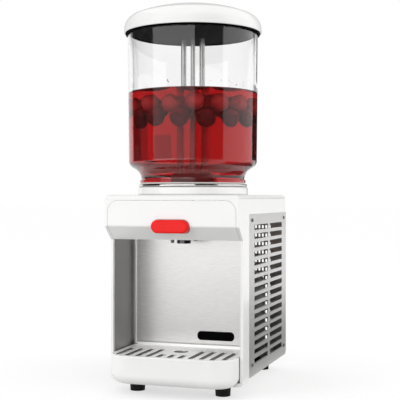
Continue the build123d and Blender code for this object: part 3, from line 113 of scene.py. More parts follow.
def moulded(name, pale, deep, roughness, ior, skin, coat=0.0, seam=0.0):
    """Moulding or enamel with slow clouding, a skin of that size and painted shade in seams that
    narrow.
    """
    material, tree = fresh(name)
    where = put(tree, "ShaderNodeTexCoord").outputs["Object"]
    cloud = put(tree, "ShaderNodeTexNoise", {"Vector": where, "Scale": 1 / CLOUD, "Detail": 2.0})
    tone = put(
        tree,
        "ShaderNodeMix",
        {FACTOR: cloud.outputs[0], FIRST: colour(pale), SECOND: colour(deep)},
        data_type="RGBA",
    )
    # Painted shade: surfaces in seams and crevices narrower than the seam distance are mixed
    # towards a dark grey
    if seam:
        seam_openness = put(tree, "ShaderNodeAmbientOcclusion", {"Distance": seam}, samples=SEAM_RAYS)
        tone = put(
            tree,
            "ShaderNodeMix",
            {FACTOR: seam_openness.outputs["AO"], FIRST: colour(SEAM_SHADE), SECOND: tone.outputs[MIXED]},
            data_type="RGBA",
        )
    grain = put(tree, "ShaderNodeTexNoise", {"Vector": where, "Scale": 1 / skin, "Detail": 3.0})
    gloss = put(
        tree,
        "ShaderNodeMapRange",
        {
            "Value": grain.outputs[0],
            "To Min": roughness - SKIN_GLOSS,
            "To Max": roughness + SKIN_GLOSS,
        },
    )
    relief = put(
        tree,
        "ShaderNodeBump",
        {"Height": grain.outputs[0], "Strength": 0.12, "Distance": SKIN_RELIEF},
    )
    shader = put(
        tree,
        "ShaderNodeBsdfPrincipled",
        {
            "Base Color": tone.outputs[MIXED],
            "Roughness": gloss.outputs[0],
            "IOR": ior,
            "Coat Weight": coat,
            "Coat Roughness": 0.05,
            "Normal": relief.outputs[0],
        },
    )
    put(tree, "ShaderNodeOutputMaterial", {"Surface": shader.outputs[0]})
    return material


def metal(
    name, pale, deep, roughness, grain, depth=0.02 * MM, brushed=0.0, cut=None, metallic=1.0
):
    """Metal with a grain of that size along X, Y and Z, and painted shade on faces that look along
    X.
    """
    material, tree = fresh(name)
    where = put(tree, "ShaderNodeTexCoord").outputs["Object"]
    laid = put(tree, "ShaderNodeMapping", {"Vector": where, "Scale": [1 / size for size in grain]})
    lines = put(
        tree,
        "ShaderNodeTexNoise",
        {"Vector": laid.outputs[0], "Scale": 1.0, "Detail": 5.0, "Roughness": 0.62},
    )
    tone = put(
        tree,
        "ShaderNodeMix",
        {FACTOR: lines.outputs[0], FIRST: colour(deep), SECOND: colour(pale)},
        data_type="RGBA",
    )
    # Painted shade: faces that look along X are mixed towards the darker colour given, by how
    # squarely they face X
    if cut:
        facing = put(tree, "ShaderNodeTexCoord").outputs["Normal"]
        across = put(tree, "ShaderNodeSeparateXYZ", {"Vector": facing}).outputs["X"]
        edge = put(tree, "ShaderNodeMath", {0: across}, operation="ABSOLUTE")
        tone = put(
            tree,
            "ShaderNodeMix",
            {FACTOR: edge.outputs[0], FIRST: tone.outputs[MIXED], SECOND: colour(cut)},
            data_type="RGBA",
        )
    gloss = put(
        tree,
        "ShaderNodeMapRange",
        {
            "Value": lines.outputs[0],
            "To Min": roughness - GRAIN_GLOSS,
            "To Max": roughness + GRAIN_GLOSS,
        },
    )
    relief = put(
        tree,
        "ShaderNodeBump",
        {"Height": lines.outputs[0], "Strength": 0.2, "Distance": depth},
    )
    level = put(tree, "ShaderNodeTangent", direction_type="RADIAL", axis="Z")
    shader = put(
        tree,
        "ShaderNodeBsdfPrincipled",
        {
            "Base Color": tone.outputs[MIXED],
            "Metallic": metallic,
            "Roughness": gloss.outputs[0],
            "Anisotropic": brushed,
            "Anisotropic Rotation": 0.25,
            "Tangent": level.outputs[0],
            "Normal": relief.outputs[0],
        },
    )
    put(tree, "ShaderNodeOutputMaterial", {"Surface": shader.outputs[0]})
    return material


def clear_polycarbonate(name, ior):
    """Moulded polycarbonate: water clear, with the long shallow ripple of a moulded wall."""
    material, tree = fresh(name)
    where = put(tree, "ShaderNodeTexCoord").outputs["Object"]
    ripple = put(
        tree, "ShaderNodeTexNoise", {"Vector": where, "Scale": 1 / WALL_RIPPLE, "Detail": 1.0}
    )
    relief = put(
        tree,
        "ShaderNodeBump",
        {"Height": ripple.outputs[0], "Strength": 0.1, "Distance": RIPPLE_RELIEF},
    )
    gloss = put(
        tree,
        "ShaderNodeMapRange",
        {"Value": ripple.outputs[0], "To Min": 0.0, "To Max": 0.02},
    )
    shader = put(
        tree,
        "ShaderNodeBsdfPrincipled",
        {
            "Base Color": colour("#ffffff"),
            "Roughness": gloss.outputs[0],
            "IOR": ior,
            "Transmission Weight": 1.0,
            "Normal": relief.outputs[0],
        },
    )
    put(tree, "ShaderNodeOutputMaterial", {"Surface": shader.outputs[0]})
    return material


def cherry_juice(name, tint, ior):
    """Clear red juice: the colour comes from the depth of liquid that the light crosses."""
    material, tree = fresh(name)
    where = put(tree, "ShaderNodeTexCoord").outputs["Object"]
    swirl = put(
        tree, "ShaderNodeTexNoise", {"Vector": where, "Scale": 1 / JUICE_SWIRL, "Detail": 2.0}
    )
    relief = put(
        tree,
        "ShaderNodeBump",
        {"Height": swirl.outputs[0], "Strength": 0.1, "Distance": SWIRL_RELIEF},
    )
    shader = put(
        tree,
        "ShaderNodeBsdfPrincipled",
        {
            "Base Color": colour("#fffafa"),
            "Roughness": 0.0,
            "IOR": ior,
            "Transmission Weight": 1.0,
            "Normal": relief.outputs[0],
        },
    )
    depth = put(tree, "ShaderNodeVolumeAbsorption", {"Color": colour(tint), "Density": 27.0})
    put(
        tree,
        "ShaderNodeOutputMaterial",
        {"Surface": shader.outputs[0], "Volume": depth.outputs[0]},
    )
    return material


def cherry_skin(name):
    """Cherry skin under juice: red in slow patches, with painted shade lower down, and fine
    specks.
    """
    material, tree = fresh(name)
    where = put(tree, "ShaderNodeTexCoord").outputs["Object"]
    patch = put(
        tree, "ShaderNodeTexNoise", {"Vector": where, "Scale": 1 / CHERRY_PATCH, "Detail": 3.0}
    )
    tone = put(
        tree,
        "ShaderNodeMix",
        {FACTOR: patch.outputs[0], FIRST: colour("#c4242a"), SECOND: colour("#ea5050")},
        data_type="RGBA",
    )
    # Painted shade: lower down, the skin is mixed towards a dark red
    height = put(tree, "ShaderNodeSeparateXYZ", {"Vector": where})
    shade = put(
        tree,
        "ShaderNodeMapRange",
        {"Value": height.outputs["Z"], "From Min": SHADED_BELOW, "From Max": LIT_ABOVE},
    )
    shaded_tone = put(
        tree,
        "ShaderNodeMix",
        {FACTOR: shade.outputs[0], FIRST: colour("#701418"), SECOND: tone.outputs[MIXED]},
        data_type="RGBA",
    )
    speck = put(tree, "ShaderNodeTexVoronoi", {"Vector": where, "Scale": 1 / CHERRY_SPECK})
    relief = put(
        tree,
        "ShaderNodeBump",
        {"Height": speck.outputs[0], "Strength": 0.1, "Distance": SPECK_RELIEF},
    )
    shader = put(
        tree,
        "ShaderNodeBsdfPrincipled",
        {
            "Base Color": shaded_tone.outputs[MIXED],
            "Roughness": 0.35,
            "IOR": 1.1,
            "Normal": relief.outputs[0],
        },
    )
    put(tree, "ShaderNodeOutputMaterial", {"Surface": shader.outputs[0]})
    return material


def make_finishes(colours):
    """One material for each finish on the dispenser."""
    white, red, tint = colours.white_plastic, colours.red_plastic, colours.juice_tint
    shaded_white = "#f0f0ef"
    polycarbonate_ior, juice_ior = 1.58, 1.34
    return {
        # Moulded ABS, gloss: a clean white with a faint grey cloud, a soft skin and painted shade
        # in narrow seams
        "white_abs": moulded(
            "white_abs_gloss", white, shaded_white, 0.24, 1.53, 0.9 * MM, coat=0.2, seam=3.0 * MM
        ),
        # Moulded ABS in a strong red, with little reflection, so that the red stays full
        "red_abs": moulded("red_abs_gloss", red, "#e81212", 0.28, 1.3, 0.9 * MM),
        # Moulded ABS in black, polished, so that it mirrors what is near
        "black_abs": moulded(
            "black_abs_polished", "#0b0b0c", "#141415", 0.12, 1.53, 1.4 * MM, coat=0.3
        ),
        # Moulded ABS in black, spark-eroded matt, so that it stays dark at a flat angle
        "black_matt": moulded("black_abs_matt", "#060607", "#0b0b0c", 0.6, 1.05, 0.7 * MM),
        # Moulded polyamide, pale grey, matt
        "inner_polyamide": moulded("grey_polyamide", "#c9c8c3", "#b7b6b1", 0.5, 1.53, 0.6 * MM),
        # Polyurethane foam, pale yellow, open and matt
        "foam": moulded("polyurethane_foam", "#d9cfa8", "#c8bc92", 0.85, 1.5, 1.2 * MM),
        # Silicone rubber, milky and soft
        "silicone": moulded("silicone_rubber", "#dcdad6", "#cbc9c5", 0.45, 1.41, 0.8 * MM),
        # Black natural rubber, matt, with little reflection, so that it stays dark on a pale floor
        "black_rubber": moulded("black_rubber", "#09090a", "#121213", 0.6, 1.25, 0.7 * MM),
        # White enamel on a pressed steel sheet: as white as the mouldings round it
        "white_enamel": moulded(
            "white_enamel", white, shaded_white, 0.24, 1.5, 0.9 * MM, coat=0.2
        ),
        # Black enamel on a pressed steel shell
        "black_enamel": moulded(
            "black_enamel", "#0d0d0e", "#17171a", 0.3, 1.5, 1.1 * MM, coat=0.4
        ),
        # Stainless sheet brushed level: fine lines along it, drawn 1.1 mm apart to show
        "brushed_sheet": metal(
            "brushed_stainless",
            "#f8f7f6",
            "#dedddb",
            0.4,
            (50 * MM, 50 * MM, 1.1 * MM),
            depth=0.008 * MM,
            brushed=0.6,
        ),
        # The same sheet in the niche, drawn 1 mm apart, with painted shade on the two wings bent
        # forward, standing in for their dark reflection
        "brushed_niche": metal(
            "brushed_stainless_niche",
            "#f8f7f6",
            "#d0cfcc",
            0.35,
            (14 * MM, 14 * MM, 1.0 * MM),
            depth=0.008 * MM,
            # painted shade on the wings, which face along X
            cut="#a4a3a1",
        ),
        # Stainless sheet that lies flat, brushed along its width and drawn 0.9 mm apart: half
        # mirror and half scattered light, which keeps it pale, with painted shade on its slot
        # walls, which face along X
        "brushed_flat": metal(
            "brushed_stainless_flat",
            "#fafaf9",
            "#ececeb",
            0.45,
            (60 * MM, 0.9 * MM, 60 * MM),
            # painted shade on the slot walls, which face along X
            cut="#4e4e4d",
            metallic=0.5,
        ),
        # Stainless, polished bright, with a trace of polishing marks
        "polished_steel": metal(
            "polished_stainless", "#e4e3e1", "#d2d1cf", 0.1, (8 * MM, 8 * MM, 8 * MM), 0.004 * MM
        ),
        # Stainless tube with a satin drawn finish
        "satin_steel": metal(
            "satin_stainless", "#dededd", "#c2c2c1", 0.2, (8 * MM, 8 * MM, 40 * MM), 0.004 * MM
        ),
        # Zinc-plated steel, dull
        "zinc": metal("zinc_plated_steel", "#8c8c8b", "#5f5f5e", 0.42, (3 * MM, 3 * MM, 3 * MM)),
        # Drawn copper tube, a little dull
        "copper": metal("drawn_copper", "#d58a63", "#b86f4b", 0.3, (12 * MM, 12 * MM, 12 * MM)),
        # Rolled aluminium fin stock
        "aluminium": metal(
            "rolled_aluminium", "#dcdddf", "#c6c8cb", 0.35, (14 * MM, 3 * MM, 14 * MM)
        ),
        # Water-clear polycarbonate in air, and where juice wets it
        "polycarbonate": clear_polycarbonate("clear_polycarbonate", polycarbonate_ior),
        "wet_polycarbonate": clear_polycarbonate(
            "clear_polycarbonate_wet", polycarbonate_ior / juice_ior
        ),
        # Clear red juice: its free surface, and its sides, which join the wall with no gap of air
        "juice_surface": cherry_juice("cherry_juice_surface", tint, juice_ior),
        "juice": cherry_juice("cherry_juice", tint, 1.0),
        # Drops of juice, thin enough to look a flat red
        "drop": moulded("juice_drop", "#c01a20", "#a01218", 0.3, 1.15, 2 * MM),
        # Cherry skin, with little gloss because it lies in juice, and painted shade on the lower
        # cherries
        "cherry": cherry_skin("cherry_skin"),
    }


FINISH = {}

NODE_FINISH = {
    "white_abs": ("front_frame", "hood_panel", "top_cover", "drip_tray"),
    "white_enamel": ("niche_ceiling",),
    "red_abs": ("dispense_button",),
    "black_abs": (
        "thermostat_knob",
        "switch_housings",
        "power_rocker",
        "pump_rocker",
        "relay_cover",
        "cable_gland",
        "fan_shroud",
        "spout",
        "valve_spool",
        "valve_plug",
    ),
    "black_matt": ("lid_liner", "name_plate"),
    "inner_polyamide": ("valve_body", "impeller", "pump_housing", "fan_post", "thermostat_body"),
    "foam": ("insulation_block",),
    "silicone": ("bowl_gasket", "dispensing_tube"),
    "black_rubber": ("rubber_feet", "compressor_grommets", "spool_seals"),
    "brushed_sheet": ("side_panel_left", "side_panel_right", "rear_panel"),
    "brushed_niche": ("splash_panel",),
    "brushed_flat": ("drip_grid", "base_pan"),
    "polished_steel": ("deck_plate", "return_spring"),
    "satin_steel": ("spray_tube_left", "spray_tube_centre", "spray_tube_right"),
    "zinc": (
        "foot_screws",
        "valve_screws",
        "side_panel_screws",
        "rear_panel_screws",
        "motor_bracket",
    ),
    "copper": (
        "evaporator_coil",
        "condenser_tube",
        "discharge_pipe",
        "suction_pipe",
        "liquid_pipe",
        "filter_drier",
        "capillary_pipe",
    ),
    "aluminium": ("condenser_fins", "fan_blade"),
    "black_enamel": ("compressor", "fan_motor", "pump_motor", "drive_magnet"),
}


def dress(piece, finish):
    """Gives one piece its finish."""
    piece.data.materials.clear()
    piece.data.materials.append(FINISH[finish])


# Half sections are radius and height above the floor, in millimetres. A straight in one is held
# by a point this far from its start and from its end.
HOLD_START, HOLD_END = 1.0, 2.0


def rounded(points, radii, step=radians(7)):
    """A run of points with an arc of the given radius at each inner corner."""
    run = [points[0]]
    for before, (x, y), after, radius in zip(points, points[1:], points[2:], radii):
        ways = []
        for other in (before, after):
            span = hypot(other[0] - x, other[1] - y)
            ways.append(((other[0] - x) / span, (other[1] - y) / span))
        (ax, ay), (bx, by) = ways
        half = acos(ax * bx + ay * by) / 2
        reach, middle = radius / tan(half), radius / sin(half)
        bisect = hypot(ax + bx, ay + by)
        cx, cy = x + middle * (ax + bx) / bisect, y + middle * (ay + by) / bisect
        first = atan2(y + reach * ay - cy, x + reach * ax - cx)
        last = atan2(y + reach * by - cy, x + reach * bx - cx)
        sweep = (last - first + pi) % (2 * pi) - pi
        count = max(2, int(abs(sweep) / step))
        for i in range(count + 1):
            angle = first + sweep * i / count
            run.append((cx + radius * cos(angle), cy + radius * sin(angle)))
    run.append(points[-1])
    return run


def held(run):
    """Adds a point near each end of a run's last straight, so that smooth shading stays flat."""
    (ax, ay), (bx, by) = run[-2:]
    span = hypot(bx - ax, by - ay)
    holds = [
        (ax + (bx - ax) * along / span, ay + (by - ay) * along / span)
        for along in (HOLD_START, span - HOLD_END)
    ]
    return run[:-1] + holds + run[-1:]


def clear_selection():
    """Leaves nothing selected, in object mode."""
    if bpy.context.object and bpy.context.object.mode != "OBJECT":
        bpy.ops.object.mode_set(mode="OBJECT")
    bpy.ops.object.select_all(action="DESELECT")


def pick(*pieces):
    """Selects these pieces and no others, with the first one active."""
    clear_selection()
    for piece in pieces:
        piece.select_set(True)
    bpy.context.view_layer.objects.active = pieces[0]


def remove(piece):
    """Deletes a piece that was only a pattern or a cutter."""
    pick(piece)
    bpy.ops.object.delete()


def named(name):
    """The object just added, under its own name."""
    piece = bpy.context.object
    piece.name = piece.data.name = name
    return piece


def joined(name, copies):
    """Joins copies into one piece of that name."""
    pick(*copies)
    bpy.ops.object.join()
    return named(name)


def turned(name, section, closed=False):
    """Turns a half section about the bowl's axis."""
    clear_selection()
    bpy.ops.mesh.primitive_plane_add(size=MM)
    piece = named(name)
    bpy.ops.object.mode_set(mode="EDIT")
    bpy.ops.mesh.select_mode(type="VERT")
    bpy.ops.mesh.merge(type="CENTER")
    places = [(r * MM, AXIS_Y, z * MM) for r, z in section]
    if closed:
        places.append(places[0])
    bpy.ops.transform.translate(value=places[0])
    for here, there in zip(places, places[1:]):
        step = [b - a for a, b in zip(here, there)]
        bpy.ops.mesh.extrude_vertices_move(TRANSFORM_OT_translate={"value": step})
    bpy.ops.mesh.select_all(action="SELECT")
    bpy.ops.mesh.remove_doubles(threshold=MERGE_WITHIN)
    bpy.ops.mesh.select_all(action="SELECT")
    bpy.ops.mesh.spin(steps=TURN_STEPS, angle=2 * pi, center=(0, AXIS_Y, 0), axis=(0, 0, 1))
    bpy.ops.mesh.select_all(action="SELECT")
    bpy.ops.mesh.remove_doubles(threshold=MERGE_WITHIN)
    bpy.ops.mesh.normals_make_consistent(inside=False)
    bpy.ops.object.mode_set(mode="OBJECT")
    return piece


def settle(piece, body, slot, finish, *replaced):
    """Shades a finished piece, dresses it and sets it on its body."""
    pick(piece)
    bpy.ops.object.shade_smooth_by_angle(angle=SMOOTH_UNDER)
    bpy.ops.object.transform_apply(location=True, rotation=True, scale=True)
    dress(piece, finish)
    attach(piece, body)
    if replaced:
        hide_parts(*replaced)


class DispenserSizes(bpy.types.PropertyGroup):
    """Sizes of the pieces made here."""

    lid_wall: bpy.props.FloatProperty(
        name="Lid wall",
        description="Thickness of the white shell",
        default=3.0 * MM,
        min=1.0 * MM,
        subtype="DISTANCE",
        unit="LENGTH",
    )
    juice_level: bpy.props.FloatProperty(
        name="Juice level",
        description="Height of the juice above the floor",
        default=536.0 * MM,
        subtype="DISTANCE",
        unit="LENGTH",
    )
    cherry_radius: bpy.props.FloatProperty(
        name="Cherry radius",
        description="Radius of one cherry",
        default=16.8 * MM,
        min=4.0 * MM,
        subtype="DISTANCE",
        unit="LENGTH",
    )


class DispenserColours(bpy.types.PropertyGroup):
    """Colours of the main finishes, as sRGB hex codes."""

    white_plastic: bpy.props.StringProperty(
        name="White plastic", description="Colour of the white mouldings", default="#f6f6f5"
    )
    red_plastic: bpy.props.StringProperty(
        name="Red plastic", description="Colour of the button", default="#f81615"
    )
    juice_tint: bpy.props.StringProperty(
        name="Juice", description="Colour that the juice lets through", default="#ea1938"
    )


class DISPENSER_OT_finishes(bpy.types.Operator):
    """Gives every carried-over piece its finish"""

    bl_idname = "dispenser.finishes"
    bl_label = "Finish the pieces"

    def execute(self, context):
        FINISH.update(make_finishes(context.scene.dispenser_colours))
        for finish, names in NODE_FINISH.items():
            for name in names:
                dress(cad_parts[name], finish)
        return {"FINISHED"}


# The bowl from its foot up: neck, shoulder and wall, then the radii of the two bends
BOWL_OUTSIDE = [(94.5, 372), (94.5, 390), (117.5, 404.5), (120, 648)]
BOWL_INSIDE = [(89.5, 372), (89.5, 392.76), (112.52, 407.27), (115, 648)]
OUTSIDE_BENDS, INSIDE_BENDS = (22, 14), (27, 9)
BOWL_FLANGE = [(89.5, 372), (96.6, 372), (97, 372.4), (97, 376.6), (96.6, 377), (94.6, 377)]
BOWL_RIM = [(119.99, 647), (119.6, 647.6), (119, 648), (116, 648), (115.2, 647.6), (115, 647)]


def inner_wall(height):
    """Radius of the bowl's inside at a height above its shoulder."""
    (low, base), (high, top) = BOWL_INSIDE[-2:]
    return low + (high - low) * (height - base) / (top - base)


class DISPENSER_OT_bowl(bpy.types.Operator):
    """Turns the clear bowl with its neck, shoulder and foot flange"""

    bl_idname = "dispenser.bowl"
    bl_label = "Bowl"

    def execute(self, context):
        level = context.scene.dispenser_sizes.juice_level / MM
        outside = held(rounded(BOWL_OUTSIDE, OUTSIDE_BENDS))
        inside = held(rounded(BOWL_INSIDE, INSIDE_BENDS))
        # A ring of points where the wet part of the wall ends
        inside.insert(-2, (inner_wall(level), level))
        section = BOWL_FLANGE + outside[1:-1] + BOWL_RIM + inside[-2:0:-1]
        bowl = turned("clear_bowl", section, closed=True)
        settle(bowl, "bowl", "clear_plastic", "polycarbonate", "bowl")
        bowl.data.materials.append(FINISH["wet_polycarbonate"])
        for face in bowl.data.polygons:
            across, along = face.center.x, face.center.y - AXIS_Y
            inward = across * face.normal.x + along * face.normal.y < 0
            if inward and face.center.z < level * MM:
                face.material_index = 1
        return {"FINISHED"}


# The lid: its radius, the heights of its rim and top, and the rounding of the rim
LID_RADIUS, LID_RIM, LID_TOP, RIM_ROUND = 126.4, 645.5, 698.0, 0.8
# How far the crown rises, the radii of its points, and the bend of the shoulder and its steps
LID_CROWN, CROWN_RADII = 26.0, range(0, 97, 6)
LID_BEND, BEND_STEP = 28.0, radians(4)


class DISPENSER_OT_lid(bpy.types.Operator):
    """Turns the white domed lid shell"""

    bl_idname = "dispenser.lid"
    bl_label = "Lid shell"

    def execute(self, context):
        wall = context.scene.dispenser_sizes.lid_wall / MM
        hollow = LID_RADIUS - wall
        outer = self.dome(LID_RADIUS, LID_TOP, LID_BEND)
        inner = self.dome(hollow, LID_TOP - wall, LID_BEND - wall)
        rim = [
            (LID_RADIUS, LID_RIM + RIM_ROUND),
            (LID_RADIUS - RIM_ROUND, LID_RIM),
            (hollow + RIM_ROUND, LID_RIM),
            (hollow, LID_RIM + RIM_ROUND),
        ]
        lid = turned("lid_shell", outer[:-1] + rim + inner[-2::-1])
        settle(lid, "lid", "white_plastic", "white_abs", "lid_dome")
        return {"FINISHED"}

    def dome(self, radius, top, bend):
        """One side of the shell, from the middle of the crown down to the rim."""
        sphere = (radius**2 + LID_CROWN**2) / (2 * LID_CROWN)
        crown = [(x, top - sphere + (sphere**2 - x**2) ** 0.5) for x in CROWN_RADII]
        corner = [crown[-1], (radius, top - LID_CROWN), (radius, LID_RIM)]
        return crown[:-1] + rounded(corner, (bend,), BEND_STEP)


# The juice laps a little into the wall, so that no gap of air shows
JUICE_LAP = 0.25
JUICE_FOOT = [(0, 371), (89.5, 371), (89.7, 372.2)]
# The meniscus, in from the wall and up from the level, and the radius of a ring on the surface
MENISCUS = ((0.0, 1.2), (0.5, 0.6), (1.4, 0.2), (4.5, 0.0))
SURFACE_RING = 60
# Faces that look up at least this much, and lie no further below the level, are the free surface
SURFACE_UP, SURFACE_DEPTH = 0.5, 2
# What the juice leaves free, in millimetres: the place across of each riser tube and its radius,
# the height of the tubes' middle and their length, then the same for the pump and its manifold
TUBE_ROOMS = ((-18, 5.5), (0, 4.75), (18, 5.5))
TUBE_MIDDLE, TUBE_LENGTH = 460, 200
PUMP_RADIUS, PUMP_MIDDLE, PUMP_LENGTH = 30.6, 376.6, 40
MANIFOLD_MIDDLE, MANIFOLD = 390, (55.4, 19.4, 29.6)


class DISPENSER_OT_juice(bpy.types.Operator):
    """Fills the bowl with juice, clear of the pump and the riser tubes"""

    bl_idname = "dispenser.juice"
    bl_label = "Juice"

    def execute(self, context):
        level = context.scene.dispenser_sizes.juice_level / MM
        side = rounded([(r + JUICE_LAP, z) for r, z in BOWL_INSIDE], INSIDE_BENDS)[1:-1]
        hold = side[-1][1] + HOLD_START
        side.append((inner_wall(hold) + JUICE_LAP, hold))
        wall = inner_wall(level) + JUICE_LAP
        top = [(wall - inward, level + up) for inward, up in MENISCUS]
        top += [(SURFACE_RING, level), (0, level)]
        juice = turned("juice", JUICE_FOOT + side + top)
        for room in self.rooms():
            pick(juice)
            cut = juice.modifiers.new("room", "BOOLEAN")
            cut.object = room
            cut.operation = "DIFFERENCE"
            cut.solver = "EXACT"
            bpy.ops.object.modifier_apply(modifier=cut.name)
            remove(room)
        settle(juice, "bowl", "red_plastic", "juice")
        juice.data.materials.append(FINISH["juice_surface"])
        for face in juice.data.polygons:
            if face.normal.z > SURFACE_UP and face.center.z > (level - SURFACE_DEPTH) * MM:
                face.material_index = 1
        return {"FINISHED"}

    def rooms(self):
        """Cutters for the three tubes, the pump and its manifold."""
        made = []
        cylinders = [
            ("tube_room", 48, across, radius, TUBE_MIDDLE, TUBE_LENGTH)
            for across, radius in TUBE_ROOMS
        ]
        cylinders.append(("pump_room", 96, 0, PUMP_RADIUS, PUMP_MIDDLE, PUMP_LENGTH))
        for name, sides, across, radius, middle, length in cylinders:
            clear_selection()
            bpy.ops.mesh.primitive_cylinder_add(
                vertices=sides,
                radius=radius * MM,
                depth=length * MM,
                location=(across * MM, AXIS_Y, middle * MM),
            )
            made.append(named(name))
        clear_selection()
        bpy.ops.mesh.primitive_cube_add(size=1.0, location=(0, AXIS_Y, MANIFOLD_MIDDLE * MM))
        bpy.context.object.scale = [length * MM for length in MANIFOLD]
        made.append(named("manifold_room"))
        return made


# Rings of cherries: ring radius in millimetres, count, depth of their middles below the level,
# and the angles of the first one and between two, in degrees
CHERRY_RINGS = (
    (95, 14, 24, -69, 360 / 14),
    (59, 7, 25, 10, 360 / 7),
    (94, 6, 50, -138, 27),
)
# How far a cherry strays from its ring's angle, radius and height, and its smallest scale
STRAY_TURN, STRAY_OUT, STRAY_HEIGHT, SMALLEST = 0.03, 1.5, (-3, 2), 0.92
# The dimple at the stalk, as shares of the cherry's radius
DIMPLE_DEPTH, DIMPLE_REACH, POLE = 0.28, 0.75, 0.999
CHERRY_SEED = 11


class DISPENSER_OT_cherries(bpy.types.Operator):
    """Floats two layers of cherries under the surface of the juice"""

    bl_idname = "dispenser.cherries"
    bl_label = "Cherries"

    def execute(self, context):
        sizes = context.scene.dispenser_sizes
        pattern = self.pattern(sizes.cherry_radius)
        level = sizes.juice_level / MM
        chance = random.Random(CHERRY_SEED)
        places = []
        for ring, count, depth, start, step in CHERRY_RINGS:
            for i in range(count):
                turn = radians(start + i * step) + chance.uniform(-STRAY_TURN, STRAY_TURN)
                out = ring + chance.uniform(-STRAY_OUT, STRAY_OUT)
                height = level - depth + chance.uniform(*STRAY_HEIGHT)
                places.append((out * cos(turn), out * sin(turn), height))
        copies = []
        for x, y, z in places:
            pick(pattern)
            bpy.ops.object.duplicate()
            one = bpy.context.object
            one.rotation_euler = [chance.uniform(0, 2 * pi) for _ in range(3)]
            one.scale = [chance.uniform(SMALLEST, 1.0) for _ in range(3)]
            one.location = (x * MM, AXIS_Y + y * MM, z * MM)
            bpy.ops.object.transform_apply(location=True, rotation=True, scale=True)
            copies.append(one)
        remove(pattern)
        settle(joined("cherries", copies), "bowl", "red_plastic", "cherry")
        return {"FINISHED"}

    def pattern(self, radius):
        """One cherry, with its top pressed in."""
        clear_selection()
        bpy.ops.mesh.primitive_uv_sphere_add(segments=28, ring_count=18, radius=radius)
        cherry = named("cherry_pattern")
        bpy.ops.object.mode_set(mode="EDIT")
        bpy.ops.mesh.select_all(action="DESELECT")
        bpy.ops.object.mode_set(mode="OBJECT")
        for vertex in cherry.data.vertices:
            vertex.select = vertex.co.z > radius * POLE
        bpy.ops.object.mode_set(mode="EDIT")
        bpy.ops.transform.translate(
            value=(0, 0, -DIMPLE_DEPTH * radius),
            use_proportional_edit=True,
            proportional_edit_falloff="SMOOTH",
            proportional_size=DIMPLE_REACH * radius,
        )
        bpy.ops.object.mode_set(mode="OBJECT")
        return cherry


DROP_COUNT, DROP_SEED = 26, 5
# Heights of the drops above the level, and their radii, in millimetres
DROP_HEIGHTS, DROP_RADII = (4, 13), (0.6, 1.1)
# A drop is flat against the wall, a little longer downwards, and stands off it by that share
DROP_SHAPE, DROP_PROUD = (0.3, 1.0, 1.15), 0.3


class DISPENSER_OT_drops(bpy.types.Operator):
    """Splashes a few drops of juice on the bowl's wall above the surface"""

    bl_idname = "dispenser.drops"
    bl_label = "Drops"

    def execute(self, context):
        level = context.scene.dispenser_sizes.juice_level / MM
        chance = random.Random(DROP_SEED)
        copies = []
        for _ in range(DROP_COUNT):
            height = level + chance.uniform(*DROP_HEIGHTS)
            turn = chance.uniform(0, 2 * pi)
            size = chance.uniform(*DROP_RADII)
            out = inner_wall(height) - DROP_PROUD * size
            clear_selection()
            bpy.ops.mesh.primitive_uv_sphere_add(
                segments=12,
                ring_count=8,
                radius=size * MM,
                location=(out * MM * cos(turn), AXIS_Y + out * MM * sin(turn), height * MM),
                rotation=(0, 0, turn),
            )
            drop = bpy.context.object
            drop.scale = DROP_SHAPE
            bpy.ops.object.transform_apply(location=True, rotation=True, scale=True)
            copies.append(drop)
        settle(joined("juice_drops", copies), "bowl", "red_plastic", "drop")
        return {"FINISHED"}


SPRING_WIRE, SPRING_TURNS, SPRING_STEPS = 0.45 * MM, 4, 32


class DISPENSER_OT_spring(bpy.types.Operator):
    """Winds the button's return spring at its length in the frame; the real spring closes up as
    the button goes in
    """

    bl_idname = "dispenser.spring"
    bl_label = "Return spring"

    def execute(self, context):
        low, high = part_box("return_spring")
        coil = (high[0] - low[0]) / 2 - SPRING_WIRE
        rise = (high[1] - low[1] - 2 * SPRING_WIRE) / SPRING_TURNS
        middle = (low[2] + high[2]) / 2
        clear_selection()
        bpy.ops.mesh.primitive_circle_add(
            vertices=12, radius=SPRING_WIRE, location=(0, low[1] + SPRING_WIRE, middle)
        )
        spring = named("return_coil")
        bpy.ops.object.mode_set(mode="EDIT")
        bpy.ops.transform.translate(value=(coil, 0, 0))
        bpy.ops.object.mode_set(mode="OBJECT")
        winding = spring.modifiers.new("winding", "SCREW")
        winding.axis = "Y"
        winding.angle = 2 * pi
        winding.screw_offset = rise
        winding.iterations = SPRING_TURNS
        winding.steps = winding.render_steps = SPRING_STEPS
        bpy.ops.object.modifier_apply(modifier=winding.name)
        bpy.ops.object.mode_set(mode="EDIT")
        bpy.ops.mesh.select_all(action="SELECT")
        bpy.ops.mesh.remove_doubles(threshold=MERGE_WITHIN)
        bpy.ops.mesh.select_all(action="SELECT")
        bpy.ops.mesh.fill_holes(sides=0)
        bpy.ops.mesh.select_all(action="SELECT")
        bpy.ops.mesh.normals_make_consistent(inside=False)
        bpy.ops.object.mode_set(mode="OBJECT")
        settle(spring, "cabinet", "brushed_steel", "polished_steel", "return_spring")
        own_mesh(spring)
        return {"FINISHED"}


# Strength of the sky at the horizon, straight up, and where it is seen
SKY_LOW, SKY_HIGH, SKY_SEEN = 1.5, 0.66, 1.0
# The floor's own glow where it lights the dispenser and where it is seen, and its size in metres
FLOOR_LIGHT, FLOOR_SEEN, FLOOR_SIZE = 0.07, 0.56, 60.0
FLOOR_GREY = "#b5b5b5"

